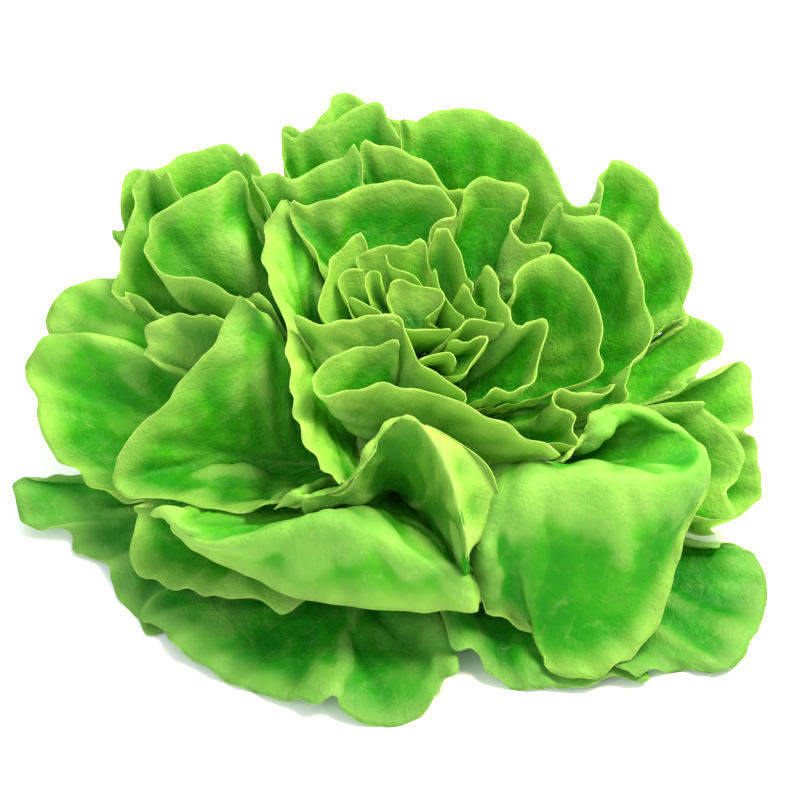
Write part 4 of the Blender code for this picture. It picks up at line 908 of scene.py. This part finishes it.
def leafMaterial(kind):
    skin, shares = leafSkin, leafShares
    greens = {part: linearColour(code) for part, code in leafGreens[kind].items()}
    greens["root"] = linearColour(skin["rootColour"])
    material, tree = emptyMaterial(f"lettuceBlade_{kind}")
    mark = {name: addNode(tree, "ShaderNodeAttribute", {"attribute_name": name}).outputs["Fac"]
            for name in leafMarks}
    place = addNode(tree, "ShaderNodeTexCoord").outputs["Object"]
    patch = noise(tree, place, *skin["patch"])
    mottle = noise(tree, place, *skin["mottle"])
    blade = mixed(tree, ramp(tree, patch, *shares["blade"]), greens["deep"], greens["blade"])
    for value, limits, colour in (
            (patch, shares["patch"], "light"),
            (mottle, shares["mottle"], "light"),
            (mark["underside"], shares["underside"], "light"),
            # painted shade in the gaps towards the root
            (mark["fromRoot"], gapPaintedShade[kind], "deep"),
            (mark["fromRoot"], shares["root"], "root"),
            # painted shade in the hollows and painted highlight on the ridges
            (mark["ridge"], shares["hollowPaintedShade"], "deep"),
            (mark["ridge"], shares["ridge"], "ridge"),
            (mark["veinStrength"], shares["vein"], "vein")):
        blade = mixed(tree, ramp(tree, value, *limits), blade, greens[colour])
    # small veins: the edges of cells in a fan, led astray by noise
    fan = addNode(tree, "ShaderNodeCombineXYZ", None, {0: mark["fanAcross"], 1: mark["fanAlong"]}).outputs[0]
    wander = noise(tree, place, *skin["wander"], "Color")
    fan = addNode(tree, "ShaderNodeVectorMath", {"operation": "MULTIPLY_ADD", 1: [skin["veinWander"]] * 3},
                  {0: wander, 2: fan}).outputs[0]
    net = addNode(tree, "ShaderNodeTexVoronoi",
                  {"voronoi_dimensions": "2D", "feature": "DISTANCE_TO_EDGE", "Scale": 1.0}, {"Vector": fan})
    smallVeins = ramp(tree, net.outputs["Distance"], *skin["smallVein"])
    veinShare = product(tree, smallVeins, ramp(tree, mottle, *shares["smallVein"]))
    blade = mixed(tree, veinShare, blade, greens["vein"])
    # paler band and thin line at the rim: partly its own colour, partly painted glow of light let through the
    # thin edge
    blade = mixed(tree, ramp(tree, mark["rimDistance"], *shares["paleRim"]), blade, greens["light"])
    rimLine = ramp(tree, mark["rimDistance"], *skin["rimLine"])
    blade = mixed(tree, product(tree, rimLine, ramp(tree, mottle, *shares["rimLine"])), blade, greens["rim"])
    # puffed skin, its grain and the small veins' grooves
    puff = addNode(tree, "ShaderNodeTexVoronoi", {"feature": "F1", "Scale": 1 / (skin["blister"] * mm)},
                   {"Vector": place}).outputs["Distance"]
    height = added(tree, puff, skin["blisterBump"], noise(tree, place, *skin["grain"]))
    height = added(tree, smallVeins, skin["veinBump"], height)
    strength, distance = skin["bump"]
    bump = addNode(tree, "ShaderNodeBump", {"Strength": strength, "Distance": distance * mm},
                   {"Height": height}).outputs[0]
    wax = addNode(tree, "ShaderNodeBsdfPrincipled",
                  {"IOR": skin["ior"], "Metallic": 0.0, "Roughness": skin["roughness"],
                   "Specular IOR Level": skin["sheen"]},
                  {"Base Color": blade, "Normal": bump}).outputs[0]
    glowColour = mixed(tree, skin["glowTint"], blade, greens["glow"])
    glow = addNode(tree, "ShaderNodeBsdfTranslucent", None, {"Color": glowColour, "Normal": bump}).outputs[0]
    both = addNode(tree, "ShaderNodeMixShader", {0: skin["glowShare"]}, {1: wax, 2: glow}).outputs[0]
    addNode(tree, "ShaderNodeOutputMaterial", None, {"Surface": both})
    return material


# cut stem: dense, wet, fibrous flesh. To the eye it is cream with a green rind, greener and darker up where
# the leaves grow from it, partly their own green and partly painted shade under them, and pale rust where the
# knife went
stemFlesh = {
    "flesh": "#cfe09a", "rind": "#93bf58", "crown": "#5f9a2e", "rust": "#c79f6a",
    "roughness": 0.5, "ior": 1.4,
    "fibre": (1.4, 4.0),                   # mm across, and roughness
    "fibreRun": (1.0, 1.0, 0.12),          # fibres run up the stem
    # crown: darker green up the stem, partly the leaves' own green and partly painted shade under them
    "crownShare": (6.0, 30.0, 0.0, 0.85),  # mm over the table from and to, and how much of the colour at each
    "rustShare": (0.2, 1.6, 0.6, 0.0),
    "bump": (0.4, 0.5),                    # strength and mm
}


def byHeight(tree, height, low, high, first, last):
    return ramp(tree, height, low * mm, high * mm, first, last)


def stemMaterial():
    flesh = stemFlesh
    material, tree = emptyMaterial("lettuceStemFlesh")
    place = addNode(tree, "ShaderNodeTexCoord").outputs["Object"]
    along = addNode(tree, "ShaderNodeMapping", {"Scale": flesh["fibreRun"]}, {"Vector": place}).outputs[0]
    fibre = noise(tree, along, *flesh["fibre"])
    height = addNode(tree, "ShaderNodeSeparateXYZ", None, {0: place}).outputs["Z"]
    colour = mixed(tree, fibre, linearColour(flesh["flesh"]), linearColour(flesh["rind"]))
    # darker green towards the crown, partly painted shade under the leaves, and rust at the cut
    for share, tint in (("crownShare", "crown"), ("rustShare", "rust")):
        colour = mixed(tree, byHeight(tree, height, *flesh[share]), colour, linearColour(flesh[tint]))
    strength, distance = flesh["bump"]
    bump = addNode(tree, "ShaderNodeBump", {"Strength": strength, "Distance": distance * mm},
                   {"Height": fibre}).outputs[0]
    skin = addNode(tree, "ShaderNodeBsdfPrincipled", {"Roughness": flesh["roughness"], "IOR": flesh["ior"]},
                   {"Base Color": colour, "Normal": bump}).outputs[0]
    addNode(tree, "ShaderNodeOutputMaterial", None, {"Surface": skin})
    return material


# large leaves: laid over one another on the solids' coarse grids, then made fine and laid once more
def fineGrids():
    names = list(leafShapes)
    start = {name: blade(leafShapes[name], *leafShapes[name]["size"]) for name in names}
    stacked, order = stackLeaves(start, stacking)
    fine = {}
    for name in names:
        grid = stacked[name]
        rimLength = np.linalg.norm(np.diff(grid[:, -1], axis=0), axis=1).sum()
        depth = np.linalg.norm(np.diff(grid, axis=1), axis=2).sum(axis=1).max()
        columns = int(np.clip(rimLength / leafDetail["columns"], *leafDetail["columnRange"]))
        rows = int(np.clip(depth / leafDetail["rows"], *leafDetail["rowRange"]))
        moved = widened(grid - start[name], columns, rows)
        fine[name] = blade(leafShapes[name], columns, rows, finer=leafDetail["finer"]) + moved
    return stackLeaves(fine, fineStacking, order)[0]


leafMaterials = {kind: leafMaterial(kind) for kind in leafGreens}

triangles = 0
for number, (name, grid) in enumerate(fineGrids().items()):
    kind = leafShapes[name]["green"]
    fineBlade = bladeMesh(*detailed(grid, leafSeeds + seedStep * number))
    piece = addPiece("fine_" + name, [fineBlade], leafMaterials[kind])
    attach(piece, "root")
    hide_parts(name)
    triangles += 2 * len(piece.data.polygons)      # all of them are quads
print("large leaves made:", len(leafShapes), "triangles", triangles)

heartParts = []
for number, leaf in enumerate(heartShapes):
    grid = blade(leaf, heartShape["columns"], heartShape["rows"], heartShape["axis"],
                 heartShape["rootRadius"], leafDetail["finer"])
    heartParts.append(bladeMesh(*detailed(grid, heartSeeds + seedStep * number, heartShape["detail"])))
heart = addPiece("fine_heart", heartParts, leafMaterials["heart"])
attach(heart, "root")
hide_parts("heart")
print("heart made")

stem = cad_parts["stem"]
stem.data.materials.clear()
stem.data.materials.append(stemMaterial())
print("stem finished")

# floor, light and camera
studio = {
    "floor": "#ffffff", "floorRoughness": 0.9, "floorSize": 6.0,
    "sky": "#f6fbff", "skyStrength": 0.85,
    "aim": (0, 0, 0.05),           # the lamps point here, in m
    "key": dict(place=(0.7, 0.15, 1.25), size=0.8, power=42.0, tint="#fff4da"),
    "fill": dict(place=(-0.8, -0.9, 0.8), size=1.0, power=6.0, tint="#ffffff"),
    "back": dict(place=(-0.3, 1.1, 0.9), size=0.8, power=9.0, tint="#ffffff"),
}


def addFloor():
    mesh = bpy.data.meshes.new("floor")
    half = studio["floorSize"] / 2
    corners = [(-half, -half, 0), (half, -half, 0), (half, half, 0), (-half, half, 0)]
    mesh.from_pydata(corners, [], [(0, 1, 2, 3)])
    material = bpy.data.materials.new("paperFloor")
    material.use_nodes = True
    skin = material.node_tree.nodes["Principled BSDF"]
    skin.inputs["Base Color"].default_value = linearColour(studio["floor"])
    skin.inputs["Roughness"].default_value = studio["floorRoughness"]
    mesh.materials.append(material)
    floor = bpy.data.objects.new("floor", mesh)
    bpy.context.scene.collection.objects.link(floor)


def addLamp(name, place, size, power, tint):
    lamp = bpy.data.lights.new(name, "AREA")
    lamp.shape = "DISK"
    lamp.size = size
    lamp.energy = power
    lamp.color = linearColour(tint)[:3]
    holder = bpy.data.objects.new(name, lamp)
    holder.location = place
    holder.rotation_euler = (Vector(studio["aim"]) - Vector(place)).to_track_quat("-Z", "Y").to_euler()
    bpy.context.scene.collection.objects.link(holder)


def addCamera():
    data = bpy.data.cameras.new("camera")
    data.sensor_width = eyeView["sensor"]
    data.lens = eyeView["focal"] / eyeView["picture"] * data.sensor_width
    camera = bpy.data.objects.new("camera", data)
    ahead = Vector((0.0, math.cos(eyeView["tilt"]), -math.sin(eyeView["tilt"])))
    camera.location = (Vector(eyeView["target"]) - eyeView["distance"] * ahead) * mm
    camera.rotation_euler = ahead.to_track_quat("-Z", "Y").to_euler()
    bpy.context.scene.collection.objects.link(camera)
    bpy.context.scene.camera = camera


addFloor()
for lampName in ("key", "fill", "back"):
    addLamp(lampName, **studio[lampName])
addCamera()
world = bpy.data.worlds.new("studio")
world.use_nodes = True
sky = world.node_tree.nodes["Background"]
sky.inputs[0].default_value = linearColour(studio["sky"])
sky.inputs[1].default_value = studio["skyStrength"]
bpy.context.scene.world = world
bpy.context.scene.view_settings.view_transform = "Standard"
print("floor, lights and camera set")
